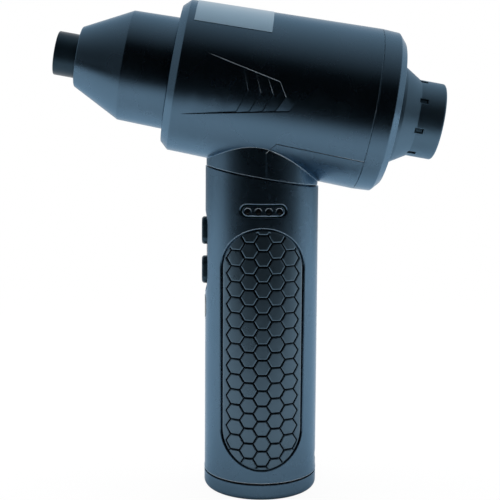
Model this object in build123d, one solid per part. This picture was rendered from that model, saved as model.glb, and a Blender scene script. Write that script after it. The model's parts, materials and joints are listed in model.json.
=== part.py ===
from build123d import *
import os
from math import cos, radians, sin

# A cordless pistol-shaped blower for drying car bodywork.
# Millimetres, +Z up. The origin is the centre of the flat base that it stands on.
# The nozzle points towards -X and the air intake towards +X; the grip runs up along +Z.
# Everything in the barrel is drawn lying along +X about the origin, where X is called u
# (tail positive) and the distance from the axis is r. lift() then tips it nose-up onto the grip.

# ---- driving dimensions ----
TILT = 9.9                    # barrel nose-up angle
AXIS_Z = 161.9                # where the barrel axis crosses the grip axis
SEAM_Z = 128.05               # neck seam, on the grip axis; the seam is parallel to the barrel

GRIP_R_FOOT = 22.9            # grip outside at its foot
GRIP_R_TOP = 22.6             # grip outside at the seam
GRIP_BORE_R = 20.5
GRIP_FOOT_Z = 7.35
NECK_R = 22.25
NECK_BORE_R = 18.8
SPIGOT_R = 20.3               # neck spigot inside the grip tube
SPIGOT_DEPTH = 6.0
SEAM_GAP = 0.35
NECK_ROUND = 0.45             # rounded lower edge of the neck

CAP_R = 23.0                  # bottom cap
CAP_TOP_Z = 6.55
CAP_ROUND = 2.4
PAD_R = 16.0                  # non-slip disc under the base
PAD_T = 0.8

SHELL_FRONT_U = -36.3         # barrel shell
BEVEL_END_U = -33.3
SHELL_REAR_U = 41.75
FACE_R = 27.0
SHELL_FRONT_R = 29.8
SHELL_REAR_R = 32.0
SHELL_WALL = 2.4
SOCKET_R = 20.5               # nozzle socket in the barrel's nose
SOCKET_END_U = -24.0
PART_GAP = 0.15               # shown gap along the saddle cover's edge

# Wedge of arrow-shaped steps on both flanks: u, and height n above the barrel axis
WEDGE_TOP = ((-24.6, 10.4), (4.75, 4.4))
WEDGE_FOOT = ((-29.9, -13.95), (10.1, -5.85))
LEAD_FADE_U = -26.9           # where the wedge runs out into the skin, level with the axis
LEAD_RISE = 0.295             # lift of its floor that leans the run-out line forwards
TAIL_DEPTH = -0.2             # last, half arrow: its floor runs out just below the arrow points
TAIL_RISE = 2.6
RUN_ON = 8.0                  # how far a wedge floor runs on ahead of its zone
APEX_N = -0.9                 # height of the arrow points
STEP_FIRST_U = -6.3           # first arrow point
STEP_PITCH = 4.77
STEP_LEAN = 3.2               # how far an arrow's ends lie ahead of its point
STEP_SHALLOW = 0.35
STEP_DEEP = 0.95

# Saddle cover's edge, world x and z: up the neck's middle, then along the barrel's flank
COVER_EDGE = ((1.0, 100.0), (1.0, 138.2), (4.6, 141.9))
COVER_FLANK_N = -19.7         # its edge's height below the axis at the barrel's rear

TAIL_U = 51.6                 # rear cap's end face
INTAKE_SOCKET_R = 19.2

TIP_R = 8.6                   # nozzle outlet tube
TIP_BORE_R = 6.9
TIP_SEAT_R = 8.3              # hole in the nozzle's front wall
TIP_END_U = -82.5
CONE_FRONT_U = -73.7
CONE_BACK_U = -54.7
CONE_BACK_R = 21.6
NOZZLE_R = 22.1

COLLAR_R = 15.2               # intake collar tube
COLLAR_BORE_R = 13.5
CAGE_BORE_R = 12.0            # inner cage, the opening that the air enters
COLLAR_START_U = 60.9
COLLAR_END_U = 71.0
WINDOW_COUNT = 8
WINDOW_FIRST_DEG = 17.0       # from the top of the barrel towards -Y

DUCT_R = 23.6                 # fan duct bore
FAN_TIP_R = 23.2
SLEEVE_R = 13.6               # duct's inner sleeve round the motor
MOTOR_R = 13.5
SHAFT_R = 1.5
BLADE_COUNT = 9
VANE_COUNT = 7
CABLE_U = -1.0                # motor cable's place along the barrel

PILL_HALF_W = 15.9            # grip pad outline, seen square on
PILL_BOTTOM_Z = 12.6
PILL_TOP_Z = 109.1
PILL_GROOVE = 0.55
PILL_T = 1.0
POCKET_ROUND = 0.55           # rounded edges of the pad and indicator pockets

PANEL_W = 12.4                # button panel on the front of the grip
PANEL_BOTTOM_Z = 80.9
PANEL_TOP_Z = 114.2
PANEL_R = 22.2
BUTTON_W = 7.0
BUTTON_H = 11.3
BUTTON_ZS = (89.9, 105.85)
BUTTON_FACE_X = -24.1
BUTTON_TRAVEL = 0.8
LIGHT_BOTTOM_Z = 70.2
LIGHT_TOP_Z = 79.6
LIGHT_W = 6.0

BEZEL_Z = 116.0               # charge indicator on the -Y side
BEZEL_W = 17.5
BEZEL_H = 4.9
BEZEL_GROOVE = 0.45
LAMP_COUNT = 4
LAMP_PITCH = 4.08

CELL_R = 9.1                  # 18650 cell in its sleeve
CELL_L = 65.0
CELL_BOTTOM_Z = 18.2
COVER_SCREW_Y = 16.8          # saddle cover screws, hidden by the grip tube
COVER_SCREW_Z = 124.0
POST_X = 13.6                 # battery frame's two posts up to the neck
POST_Y = 9.5
POST_TOP_Z = 119.0
BOARD_Z = 118.8               # underside of the controller board
BOARD_T = 1.6
PORT_Z = 13.0                 # USB-C inlet on the back of the grip
PORT_W = 8.94
PORT_H = 3.26

LABEL_U = (-30.75, -1.1)
LABEL_HALF_DEG = 44.5
LABEL_T = 0.15

UP = (Align.CENTER, Align.CENTER, Align.MIN)
parts = {}


# ---- helpers ----
def lift(shape):
    """Tips a barrel piece nose-up and sets it on the barrel axis."""
    return Pos(0, 0, AXIS_Z) * Rot(0, TILT, 0) * shape


def barrel_point(u, n):
    """World x and z of the point u along the barrel and n above its axis."""
    t = radians(TILT)
    return (u * cos(t) + n * sin(t), AXIS_Z - u * sin(t) + n * cos(t))


def outline(corners):
    """Closed face from (x, y) or (x, y, fillet radius) corners."""
    points = [c[:2] for c in corners]
    radii = [c[2] if len(c) > 2 else 0 for c in corners]
    return make_face(FilletPolyline(*points, radius=radii, close=True))


def turned(corners):
    """Solid of revolution about the barrel's own axis from (u, r) corners."""
    return revolve(outline(corners), Axis.X)


def upright(corners):
    """Solid of revolution about the grip axis from (r, z) corners."""
    return revolve(Plane.XZ * outline(corners), Axis.Z)


def ring(u0, u1, r0, r1):
    """Plain ring about the barrel axis."""
    return turned([(u0, r0), (u1, r0), (u1, r1), (u0, r1)])


def rod(u0, u1, r):
    """Round bar on the barrel axis."""
    return Pos(u0, 0, 0) * Rot(0, 90, 0) * Cylinder(r, u1 - u0, align=UP)


def through(face):
    """Prism along Y through both sides of a face drawn with x and z, or u and n, as its axes."""
    return extrude(Plane.XZ * face, 40.0, both=True)


def pill_front(width, height, z, x0, x1):
    """Upright pill prism along X from x0 to x1."""
    face = SlotOverall(height, width, rotation=90)
    return extrude(Plane(origin=(x0, 0, z), x_dir=(0, 1, 0), z_dir=(1, 0, 0)) * face, x1 - x0)


def pill_side(width, height, z, y0, y1):
    """Pill prism along Y from y0 to y1, long way up or across."""
    across = width > height
    face = SlotOverall(max(width, height), min(width, height), rotation=0 if across else 90)
    return extrude(Plane(origin=(0, y0, z), x_dir=(1, 0, 0), z_dir=(0, -1, 0)) * face, y0 - y1)


def joined(shapes):
    """Fuses a list of shapes."""
    total = shapes[0]
    for shape in shapes[1:]:
        total += shape
    return total


def grip_r(z):
    """Outside radius of the grip at height z."""
    share = (z - GRIP_FOOT_Z) / (SEAM_Z - GRIP_FOOT_Z)
    return GRIP_R_FOOT + (GRIP_R_TOP - GRIP_R_FOOT) * share


def shell_r(u):
    """Outside radius of the barrel at u."""
    share = (u - BEVEL_END_U) / (SHELL_REAR_U - BEVEL_END_U)
    return SHELL_FRONT_R + (SHELL_REAR_R - SHELL_FRONT_R) * share


def grip_skin(inner, outer, z0=8.0, z1=127.0):
    """Thin tube that follows the grip's outside, from inner to outer offset."""
    return upright([
        (grip_r(z0) + inner, z0), (grip_r(z0) + outer, z0),
        (grip_r(z1) + outer, z1), (grip_r(z1) + inner, z1)])


def above_seam(offset):
    """Half space above the sloping neck seam, raised by offset."""
    return Pos(0, 0, SEAM_Z) * Rot(0, TILT, 0) * Pos(0, 0, offset) * Box(120, 120, 90, align=UP)


# ---- barrel castings ----
def barrel_ring():
    """The barrel's own shell with its front wall and nozzle socket."""
    return turned([
        (SHELL_FRONT_U, SOCKET_R), (SHELL_FRONT_U, FACE_R), (BEVEL_END_U, SHELL_FRONT_R, 0.5),
        (SHELL_REAR_U, SHELL_REAR_R), (SHELL_REAR_U, SHELL_REAR_R - SHELL_WALL),
        (-33.0, SHELL_FRONT_R - SHELL_WALL), (-33.9, 26.3), (-33.9, 22.2),
        (SOCKET_END_U, 22.2), (SOCKET_END_U, SOCKET_R)])


def barrel_core():
    """Everything inside the barrel's wall."""
    return turned([
        (-33.9, 0), (-33.9, 26.3), (-33.0, SHELL_FRONT_R - SHELL_WALL),
        (SHELL_REAR_U, SHELL_REAR_R - SHELL_WALL), (SHELL_REAR_U, 0)])


def neck():
    """Neck stub, its spigot and its screw bosses, cut off inside the barrel."""
    stub = Pos(0, 0, 100) * Cylinder(NECK_R, 55, align=UP) & above_seam(SEAM_GAP)
    stub = fillet(stub.edges().sort_by(Axis.Z)[0], NECK_ROUND)
    spigot = Pos(0, 0, 100) * Cylinder(SPIGOT_R, 50, align=UP) & above_seam(-SPIGOT_DEPTH)
    tube = stub + spigot - Pos(0, 0, 90) * Cylinder(NECK_BORE_R, 70, align=UP)
    for side in (-1, 1):
        tube += along_x(-4.0, side, 2.2, 10.0)
        tube += Pos(POST_X, side * POST_Y, POST_TOP_Z + 0.2) * Cylinder(2.4, 7.6, align=UP)
    for side in (-1, 1):
        tube -= along_x(-3.0, side, 1.02, 9.5)
        tube -= along_x(6.0, side, 2.0, 6.0)
        tube -= Pos(POST_X, side * POST_Y, POST_TOP_Z) * Cylinder(1.02, 6.6, align=UP)
    return tube - lift(barrel_core())


def along_x(x0, side, r, length):
    """Round bar along +X on a saddle cover screw's line."""
    return Pos(x0, side * COVER_SCREW_Y, COVER_SCREW_Z) * Rot(0, 90, 0) * Cylinder(r, length, align=UP)


def on_line(line, u):
    """Height of a two-point line at u."""
    (u0, n0), (u1, n1) = line
    return n0 + (n1 - n0) * (u - u0) / (u1 - u0)


def arrow(apex_u):
    """Three corners of an arrow line, from its top end to its foot."""
    end_u = apex_u - STEP_LEAN
    return [(end_u, on_line(WEDGE_TOP, end_u)), (apex_u, APEX_N), (end_u, on_line(WEDGE_FOOT, end_u))]


def recess(zone, u0, depth0, u1, depth1, rise=0.0):
    """Cuts inside a side outline, on both sides, to a floor that slopes from depth0 to depth1."""
    front_u = u0 - RUN_ON
    front_depth = depth0 - (depth1 - depth0) * RUN_ON / (u1 - u0)
    floor = turned([
        (front_u, 0), (front_u, shell_r(front_u) - front_depth), (u1, shell_r(u1) - depth1), (u1, 0)])
    return through(outline(zone)) - Pos(0, 0, rise) * floor


def styled(shell):
    """Barrel shell with the wedge of arrow-shaped steps pressed into both sides."""
    start_u = WEDGE_TOP[0][0] - STEP_LEAN
    foot_u = WEDGE_FOOT[0][0] - STEP_LEAN
    lead = [(foot_u, on_line(WEDGE_FOOT, foot_u)), (start_u, on_line(WEDGE_TOP, start_u))]
    lead += arrow(STEP_FIRST_U)
    shell -= recess(lead, LEAD_FADE_U, 0, STEP_FIRST_U + 1, STEP_DEEP, LEAD_RISE)
    for index in range(3):
        apex = STEP_FIRST_U + index * STEP_PITCH
        band = arrow(apex)[::-1] + arrow(apex + STEP_PITCH)
        shell -= recess(band, apex - STEP_LEAN, STEP_SHALLOW, apex + STEP_PITCH, STEP_DEEP)
    apex = STEP_FIRST_U + 3 * STEP_PITCH
    half = arrow(apex)[:0:-1] + [(apex + STEP_PITCH, APEX_N + 0.7), WEDGE_FOOT[1]]
    return shell - recess(half, apex - STEP_LEAN, TAIL_DEPTH, apex + STEP_PITCH, TAIL_DEPTH, TAIL_RISE)


def cover_outline():
    """Side outline of the saddle cover: behind the neck's middle and under the barrel's flank."""
    rear_top = barrel_point(SHELL_REAR_U + 0.1, COVER_FLANK_N)
    rear_low = barrel_point(SHELL_REAR_U + 0.1, -45.0)
    return outline([*COVER_EDGE, rear_top, rear_low, (rear_low[0], COVER_EDGE[0][1])])


def casings():
    """Barrel shell and saddle cover, parted from one body."""
    whole = lift(styled(barrel_ring())) + neck()
    whole -= Pos(0, 0, 120) * Cylinder(NECK_BORE_R - 0.01, 25, align=UP) & lift(barrel_wall_zone())
    shell = whole - through(offset(cover_outline(), PART_GAP))
    cover = whole & through(cover_outline())
    for side in (-1, 1):
        cover -= along_x(0.5, side, 1.1, 6.0)
    return shell, cover


def barrel_wall_zone():
    """The barrel's lower wall, from just inside it to just outside."""
    return turned([(-34, 10), (-34, 33), (41, 33), (41, 10)])


def rear_cap():
    """Rear cap: skirt, bevel, end face, intake socket and the bell that feeds the duct."""
    return lift(turned([
        (42.05, SHELL_REAR_R), (48.8, 31.65, 0.6), (TAIL_U, 28.5, 0.5), (TAIL_U, INTAKE_SOCKET_R),
        (44.0, INTAKE_SOCKET_R), (37.0, DUCT_R), (37.0, 25.3), (44.6, 20.8), (50.0, 20.8),
        (50.0, 25.8), (47.9, 27.9), (38.5, 27.9), (38.5, 29.2), (42.05, 29.2)]))


def label():
    """Blank foil label wrapped over the top of the barrel."""
    u0, u1 = LABEL_U
    face = outline([
        (u0, shell_r(u0)), (u1, shell_r(u1)),
        (u1, shell_r(u1) + LABEL_T), (u0, shell_r(u0) + LABEL_T)])
    strip = revolve(Rot(90 - LABEL_HALF_DEG, 0, 0) * face, Axis.X, 2 * LABEL_HALF_DEG)
    return lift(strip)


# ---- nozzle, a push fit in the barrel's nose ----
def nozzle_body():
    return lift(turned([
        (CONE_FRONT_U, TIP_SEAT_R), (CONE_FRONT_U, 11.75, 0.9), (CONE_BACK_U, CONE_BACK_R, 0.8),
        (-36.6, NOZZLE_R), (-36.6, 20.2), (-32.6, 20.2), (-32.6, 19.3), (-30.4, 19.3),
        (-30.4, 20.2), (-26.0, 20.2, 0.4), (-26.0, 18.4), (-54.0, 18.4, 3.0), (-71.2, 10.5),
        (-72.7, 10.5), (-72.7, TIP_SEAT_R)]))


def nozzle_tip():
    """Outlet tube with a shoulder that stops on the nozzle's front and a flange behind its wall."""
    shoulder_u = CONE_FRONT_U - 0.03
    neck_r = TIP_SEAT_R - 0.05
    return lift(turned([
        (TIP_END_U, TIP_BORE_R, 0.3), (TIP_END_U, TIP_R, 0.5), (shoulder_u, TIP_R),
        (shoulder_u, neck_r), (-72.65, neck_r), (-72.65, 10.4), (-71.3, 10.4), (-70.4, 9.6),
        (-71.6, TIP_BORE_R)]))


def nozzle_seal():
    return lift(ring(-32.5, -30.5, 19.35, 20.4))


# ---- intake, a push fit in the rear cap ----
def window(angle, inner, outer, width):
    """Small block through the collar's wall at an angle from the barrel's top."""
    block = Pos(61.95, 0, (inner + outer) / 2) * Box(3.3 * width, 1.9 * width, outer - inner)
    return Rot(angle, 0, 0) * block


def window_angles():
    return [WINDOW_FIRST_DEG + i * 360.0 / WINDOW_COUNT for i in range(WINDOW_COUNT)]


def intake_collar():
    body = turned([
        (45.0, 18.9, 0.4), (47.4, 18.9), (47.4, 18.1), (49.2, 18.1), (49.2, 18.9), (51.9, 18.9),
        (51.9, 19.9), (54.3, 19.2, 1.0), (COLLAR_START_U, COLLAR_R), (COLLAR_END_U, COLLAR_R, 0.9),
        (COLLAR_END_U, COLLAR_BORE_R), (57.0, COLLAR_BORE_R), (50.0, 16.6), (45.0, 16.6)])
    for angle in window_angles():
        body -= window(angle, COLLAR_BORE_R - 1, COLLAR_R + 1, 1.0)
    return lift(body)


def intake_cage():
    """Inner cage: tube, spoked guard at its inner end and a snap tab in each window."""
    tube = ring(58.6, 70.2, CAGE_BORE_R, 13.4)
    guard = ring(57.2, 58.6, 11.4, 13.4) + ring(57.2, 58.6, 6.4, 7.4) + rod(57.2, 58.6, 1.8)
    for index in range(6):
        spoke = Pos(57.9, 0, 6.6) * Box(1.4, 1.2, 10.8)
        guard += Rot(index * 60.0, 0, 0) * spoke
    body = tube + guard
    for angle in window_angles():
        body += window(angle, 12.6, 14.7, 0.8)
    return lift(body)


def intake_filter():
    """Perforated filter disc behind the guard."""
    disc = rod(56.3, 57.1, 13.3)
    holes = [Pos(x, y) * Cylinder(1.2, 4) for x, y in honeycomb(3.3, 11.6)]
    return lift(disc - Pos(56.7, 0, 0) * Rot(0, 90, 0) * Compound(holes))


def honeycomb(pitch, reach):
    """Points of a triangular grid inside a circle."""
    rows = range(-4, 5)
    grid = [((i + j / 2) * pitch, j * pitch * sin(radians(60))) for j in rows for i in rows]
    return [(x, y) for x, y in grid if x * x + y * y < reach * reach]


def intake_seal():
    return lift(ring(47.5, 49.1, 18.15, 19.1))


# ---- fan duct and motor ----
def fan_duct():
    """Duct with a funnel to the nozzle socket, a motor sleeve and its stator vanes."""
    tube = turned([
        (-23.7, 18.8), (-13.0, DUCT_R), (36.6, DUCT_R), (36.6, 25.2), (-12.6, 25.2), (-23.7, 20.4)])
    body = tube + ring(-12.0, 12.0, SLEEVE_R, SLEEVE_R + 1.2)
    for index in range(VANE_COUNT):
        width = 5.6 if index == 0 else 1.4
        vane = Pos(-1.0, 0, -19.4) * Box(17.0, width, 10.0)
        body += Rot(index * 360.0 / VANE_COUNT, 0, 0) * vane
    return lift(body - cable_run(1.9, -26.0, -12.0))


def cable_run(radius, n0, n1):
    """Round bar square to the barrel axis at the motor cable's place."""
    return Pos(CABLE_U, 0, n0) * Cylinder(radius, n1 - n0, align=UP)


def duct_rings():
    """Two rubber rings that hold the duct in the barrel and soak up vibration."""
    made = []
    for u0 in (-11.0, 28.0):
        u1 = u0 + 4.0
        reach = SHELL_WALL + 0.05
        made.append(lift(turned([
            (u0, 25.25), (u1, 25.25), (u1, shell_r(u1) - reach), (u0, shell_r(u0) - reach)])))
    return Compound(made)


def motor_housing():
    """Deep cup with a bearing seat in its front wall and a hole for the cable."""
    cup = turned([
        (-12.0, 1.9), (-12.0, MOTOR_R, 0.5), (10.0, MOTOR_R), (10.0, 12.5), (-10.5, 12.5),
        (-10.5, 5.6), (-7.4, 5.6), (-7.4, 4.0), (-11.4, 4.0), (-11.4, 1.9)])
    return lift(cup - cable_run(1.9, -14.0, -11.0))


def motor_end_cap():
    plate = turned([
        (7.7, 4.0), (11.7, 4.0), (11.7, 1.9), (12.2, 1.9), (12.2, MOTOR_R), (10.1, MOTOR_R),
        (10.1, 5.6), (7.7, 5.6)])
    return lift(plate)


def stator_core():
    """Laminated ring with six teeth pointing at the magnet."""
    core = ring(-5.5, 5.5, 10.4, 12.4)
    for index in range(6):
        tooth = Pos(0, 0, 8.3) * Box(11.0, 3.0, 4.6)
        shoe = Pos(0, 0, 6.0) * Box(11.0, 5.2, 1.0)
        core += Rot(index * 60.0, 0, 0) * (tooth + shoe)
    return lift(core - rod(-6.0, 6.0, 5.2))


def stator_coils():
    """Six copper windings, one round each tooth."""
    made = []
    for index in range(6):
        coil = Box(14.4, 6.0, 3.3) - Box(11.2, 3.1, 4.0)
        coil = fillet(coil.edges().filter_by(Axis.Z).group_by(Axis.Y)[0], 1.0)
        made.append(lift(Rot(index * 60.0, 0, 0) * (Pos(0, 0, 8.25) * coil)))
    return Compound(made)


def motor_bearings():
    made = [lift(ring(u0, u0 + 3.8, SHAFT_R + 0.03, 3.98)) for u0 in (-11.3, 7.8)]
    return Compound(made)


def tail_cone():
    """Streamlined nose ahead of the motor, where the air closes in again."""
    return lift(turned([
        (-12.1, 0), (-12.1, 13.4), (-16.0, 12.8, 6.0), (-27.0, 5.0, 5.0), (-28.6, 0)]))


def rotor_shaft():
    return lift(rod(-11.2, 29.0, SHAFT_R))


def rotor_magnet():
    return lift(ring(-6.0, 6.0, SHAFT_R, 4.7))


def impeller():
    """Hub with pitched blades that clear the duct."""
    hub = turned([
        (14.0, 11.0), (14.0, 13.2), (26.0, 12.6, 2.0), (27.5, 4.0), (27.5, SHAFT_R),
        (18.0, SHAFT_R), (18.0, 4.0), (24.0, 5.0), (24.0, 11.0)])
    fan = hub
    for index in range(BLADE_COUNT):
        blade = Pos(20.0, 0, 18.0) * Rot(0, 0, 38.0) * Box(13.0, 1.3, 13.0)
        fan += Rot(index * 360.0 / BLADE_COUNT, 0, 0) * (blade & ring(14.2, 25.8, 12.0, FAN_TIP_R))
    return lift(fan)


def impeller_nut():
    """Domed nut that locks the impeller on the shaft."""
    return lift(turned([
        (27.6, SHAFT_R), (27.6, 3.6), (29.0, 3.6, 0.8), (31.5, 1.6, 1.0), (32.0, 0), (29.1, 0),
        (29.1, SHAFT_R)]))


def motor_cable():
    """Round three-core cable from the controller board into the motor."""
    return lift(cable_run(1.7, -42.0, -12.6))


# ---- grip ----
def pill_zone(grow):
    """Grip pad outline as a prism along -Y, grown by a margin."""
    height = PILL_TOP_Z - PILL_BOTTOM_Z + 2 * grow
    middle = (PILL_TOP_Z + PILL_BOTTOM_Z) / 2
    return pill_side(2 * (PILL_HALF_W + grow), height, middle, 0, -30)


def both_sides(shape):
    return shape + mirror(shape, Plane.XZ)


def sunk(tube, cutter):
    """Grip tube less a cutter, with the new edges in its outer skin rounded."""
    rims = []
    for edge in new_edges(tube, cutter, combined=tube - cutter):
        points = [edge.position_at(share) for share in (0.1, 0.5, 0.9)]
        if all(abs((p.X ** 2 + p.Y ** 2) ** 0.5 - grip_r(p.Z)) < 0.01 for p in points):
            rims.append(edge)
    return fillet(rims, POCKET_ROUND)


def grip_tube():
    """Grip tube with pockets for the pads and slots for panel, light, lamps and inlet."""
    tube = upright([
        (GRIP_BORE_R, GRIP_FOOT_Z), (23.05, GRIP_FOOT_Z), (23.05, 8.0), (grip_r(9.2), 9.2),
        (GRIP_R_TOP, SEAM_Z), (GRIP_R_TOP, 140.0), (GRIP_BORE_R, 140.0)])
    tube -= above_seam(0)
    pads = both_sides(pill_zone(0) & grip_skin(-PILL_T - 0.05, 3.0))
    tube = sunk(tube, pads)
    tube -= pill_front(PANEL_W, PANEL_TOP_Z - PANEL_BOTTOM_Z, panel_z(), -30, -15)
    tube -= pill_front(LIGHT_W, LIGHT_TOP_Z - LIGHT_BOTTOM_Z, light_z(), -30, -15)
    tube = sunk(tube, pill_side(BEZEL_W, BEZEL_H, BEZEL_Z, -15, -30))
    tube -= Pos(20, 0, PORT_Z) * Rot(0, 90, 0) * extrude(SlotOverall(9.6, 3.9, rotation=90), 8)
    return tube


def panel_z():
    return (PANEL_TOP_Z + PANEL_BOTTOM_Z) / 2


def light_z():
    return (LIGHT_TOP_Z + LIGHT_BOTTOM_Z) / 2


def grip_pad():
    """Soft pad for the -Y side, a little smaller than its pocket all round."""
    return pill_zone(-PILL_GROOVE) & grip_skin(-PILL_T, 0.0)


def button_panel():
    """Inset front panel with two button holes."""
    height = PANEL_TOP_Z - PANEL_BOTTOM_Z - 0.2
    skin = Cylinder(PANEL_R, 300) - Cylinder(GRIP_BORE_R - 0.1, 300)
    panel = pill_front(PANEL_W - 0.2, height, panel_z(), -30, -15) & skin
    for z in BUTTON_ZS:
        panel -= pill_front(BUTTON_W + 0.6, BUTTON_H + 0.6, z, -30, -15)
    return panel


def button(z):
    """Pill-shaped cap with a flange that stops it behind the panel."""
    cap = pill_front(BUTTON_W, BUTTON_H, z, BUTTON_FACE_X, -19.2)
    front = cap.edges().group_by(Axis.X)[0]
    cap = fillet(front, 1.1)
    return cap + pill_front(BUTTON_W + 2.2, BUTTON_H + 2.2, z, -19.6, -18.6)


def switch_stem(z):
    """Moving stem of a tact switch, under its button."""
    return Pos(-18.6, 0, z) * Rot(0, 90, 0) * Cylinder(1.7, 2.6, align=UP)


def tact_switches():
    """Two square switch bodies with a blind bore for the stem."""
    made = []
    for z in BUTTON_ZS:
        case = Pos(-15.6, 0, z) * Box(3.2, 6.2, 6.2)
        bore = Cylinder(1.8, BUTTON_TRAVEL + 1.6, align=UP)
        made.append(case - Pos(-17.3, 0, z) * Rot(0, 90, 0) * bore)
    return Compound(made)


def button_board():
    return Pos(-13.2, 0, 100.0) * Box(1.6, 13.0, 28.4)


def light_lens():
    """Frosted lens of the small work light under the buttons."""
    height = LIGHT_TOP_Z - LIGHT_BOTTOM_Z - 0.2
    skin = Cylinder(22.95, 300) - Cylinder(20.2, 300)
    return pill_front(LIGHT_W - 0.2, height, light_z(), -30, -15) & skin


def light_board():
    """Small board with one square light-emitting diode."""
    board = Pos(-17.4, 0, light_z()) * Box(1.2, 7.0, 9.0)
    return board + Pos(-18.6, 0, light_z()) * Box(1.2, 3.0, 3.0)


def indicator_bezel():
    """Pill-shaped insert with a groove round it, four lamp holes and a flange behind the tube's wall."""
    plug_w = BEZEL_W - 2 * BEZEL_GROOVE
    plug_h = BEZEL_H - 2 * BEZEL_GROOVE
    plug = pill_side(plug_w, plug_h, BEZEL_Z, -15, -30) & grip_skin(-2.4, 0.0)
    flange_skin = Cylinder(GRIP_BORE_R - 0.05, 300) - Cylinder(GRIP_BORE_R - 1.0, 300)
    flange = pill_side(BEZEL_W + 1.4, BEZEL_H + 1.4, BEZEL_Z, -15, -30) & flange_skin
    bezel = plug + flange
    for x in lamp_xs():
        bezel -= Pos(x, -15, BEZEL_Z - 0.2) * Rot(90, 0, 0) * Cylinder(1.2, 12, align=UP)
    return bezel


def lamp_xs():
    return [(i - (LAMP_COUNT - 1) / 2) * LAMP_PITCH for i in range(LAMP_COUNT)]


def light_pipes():
    """Four clear rods that carry the indicator lamps' light out to the bezel."""
    made = []
    for x in lamp_xs():
        reach = (GRIP_R_TOP - 0.9) ** 2 - x * x
        length = reach ** 0.5 - 18.0
        pipe = Pos(x, -18.0, BEZEL_Z - 0.2) * Rot(90, 0, 0) * Cylinder(1.15, length, align=UP)
        made.append(pipe)
    return Compound(made)


def indicator_board():
    board = Pos(0, -16.5, BEZEL_Z) * Box(18.0, 1.0, 6.8)
    for x in lamp_xs():
        board += Pos(x, -17.4, BEZEL_Z - 0.2) * Box(1.6, 0.9, 0.9)
    return board


# ---- base ----
def screw_places():
    return [(13.0 * cos(radians(a)), 13.0 * sin(radians(a))) for a in (60, 180, 300)]


def bottom_cap():
    """Dished cap with a short spigot and three screw posts."""
    cap = upright([
        (0, 0), (CAP_R, 0, CAP_ROUND), (CAP_R, CAP_TOP_Z), (20.3, CAP_TOP_Z), (20.3, 9.0),
        (18.8, 9.0), (18.8, 3.0), (0, 3.0)])
    for x, y in screw_places():
        cap += Pos(x, y, 2.5) * Cylinder(3.0, 7.2, align=UP)
    cap -= Cylinder(PAD_R + 0.1, PAD_T, align=UP)
    for x, y in screw_places():
        cap -= Pos(x, y, -1) * Cylinder(1.4, 14, align=UP)
        cap -= Pos(x, y, -1) * Cylinder(2.4, 3.4, align=UP)
    return cap


def base_pad():
    return Cylinder(PAD_R, PAD_T, align=UP)


def cap_gasket():
    return upright([(20.35, CAP_TOP_Z), (22.1, CAP_TOP_Z), (22.1, GRIP_FOOT_Z), (20.35, GRIP_FOOT_Z)])


def pan_screw(shank_r, length, head_r, head_h):
    """Screw pointing up +Z, its head's underside at z 0."""
    head = Pos(0, 0, -head_h) * Cylinder(head_r, head_h, align=UP)
    socket = Pos(0, 0, -head_h) * Box(head_r * 1.1, 0.5, head_h, align=UP)
    cross = Pos(0, 0, -head_h) * Box(0.5, head_r * 1.1, head_h, align=UP)
    return head - socket - cross + Cylinder(shank_r, length, align=UP)


def cap_screws():
    return Compound([Pos(x, y, 2.4) * pan_screw(1.2, 12.5, 2.2, 1.4) for x, y in screw_places()])


def frame_screws():
    screw = pan_screw(1.0, 8.0, 1.8, 1.2)
    return Compound([Pos(POST_X, s * POST_Y, POST_TOP_Z - 2.0) * screw for s in (-1, 1)])


def cover_screws():
    screw = Rot(0, -90, 0) * pan_screw(1.0, 8.8, 1.8, 1.2)
    return Compound([Pos(6.0, s * COVER_SCREW_Y, COVER_SCREW_Z) * screw for s in (-1, 1)])


# ---- battery and boards ----
def cell_centres():
    reach = CELL_R * 2 / 3 ** 0.5 + 0.01
    return [(reach * cos(radians(a)), reach * sin(radians(a))) for a in (0, 120, 240)]


def battery_cells():
    """Three cylindrical cells, each with its raised top button."""
    made = []
    for x, y in cell_centres():
        body = Pos(x, y, CELL_BOTTOM_Z) * Cylinder(CELL_R, CELL_L - 0.6, align=UP)
        body = fillet(body.edges(), 0.6)
        made.append(body + Pos(x, y, CELL_BOTTOM_Z) * Cylinder(3.0, CELL_L, align=UP))
    return Compound(made)


def cell_straps():
    """Nickel strips welded across the cells, top and bottom."""
    made = []
    for z in (CELL_BOTTOM_Z - 0.3, CELL_BOTTOM_Z + CELL_L):
        pads = [Pos(x, y, z) * Cylinder(3.4, 0.3, align=UP) for x, y in cell_centres()]
        link = Pos(0, 0, z) * (Cylinder(11.5, 0.3, align=UP) - Cylinder(8.5, 0.3, align=UP))
        made.append(joined(pads) + link)
    return Compound(made)


def battery_frame():
    """Skeleton from the bottom cap's screws to the neck's screws, round the cells."""
    notch = Pos(-21, 0, 80) * Box(20, 50, 10, align=UP)
    frame = Pos(0, 0, 84.2) * Cylinder(20.0, 1.8, align=UP) - notch
    frame += Pos(0, 0, 16.0) * Cylinder(20.0, 1.6, align=UP)
    for angle in (60, -60):
        frame += Rot(0, 0, angle) * Pos(17.75, 0, 16.5) * Box(4.5, 6.0, 69.0, align=UP)
    for x, y in screw_places():
        frame += Pos(x, y, 9.8) * Cylinder(3.0, 6.5, align=UP)
    for side in (-1, 1):
        frame += Pos(POST_X, side * POST_Y, 85.0) * Cylinder(3.0, POST_TOP_Z - 85.0, align=UP)
    frame += Pos(11.0, 0, BOARD_Z - 1.4) * Box(8.0, 20.0, 1.4, align=UP)
    return frame - frame_holes()


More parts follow.
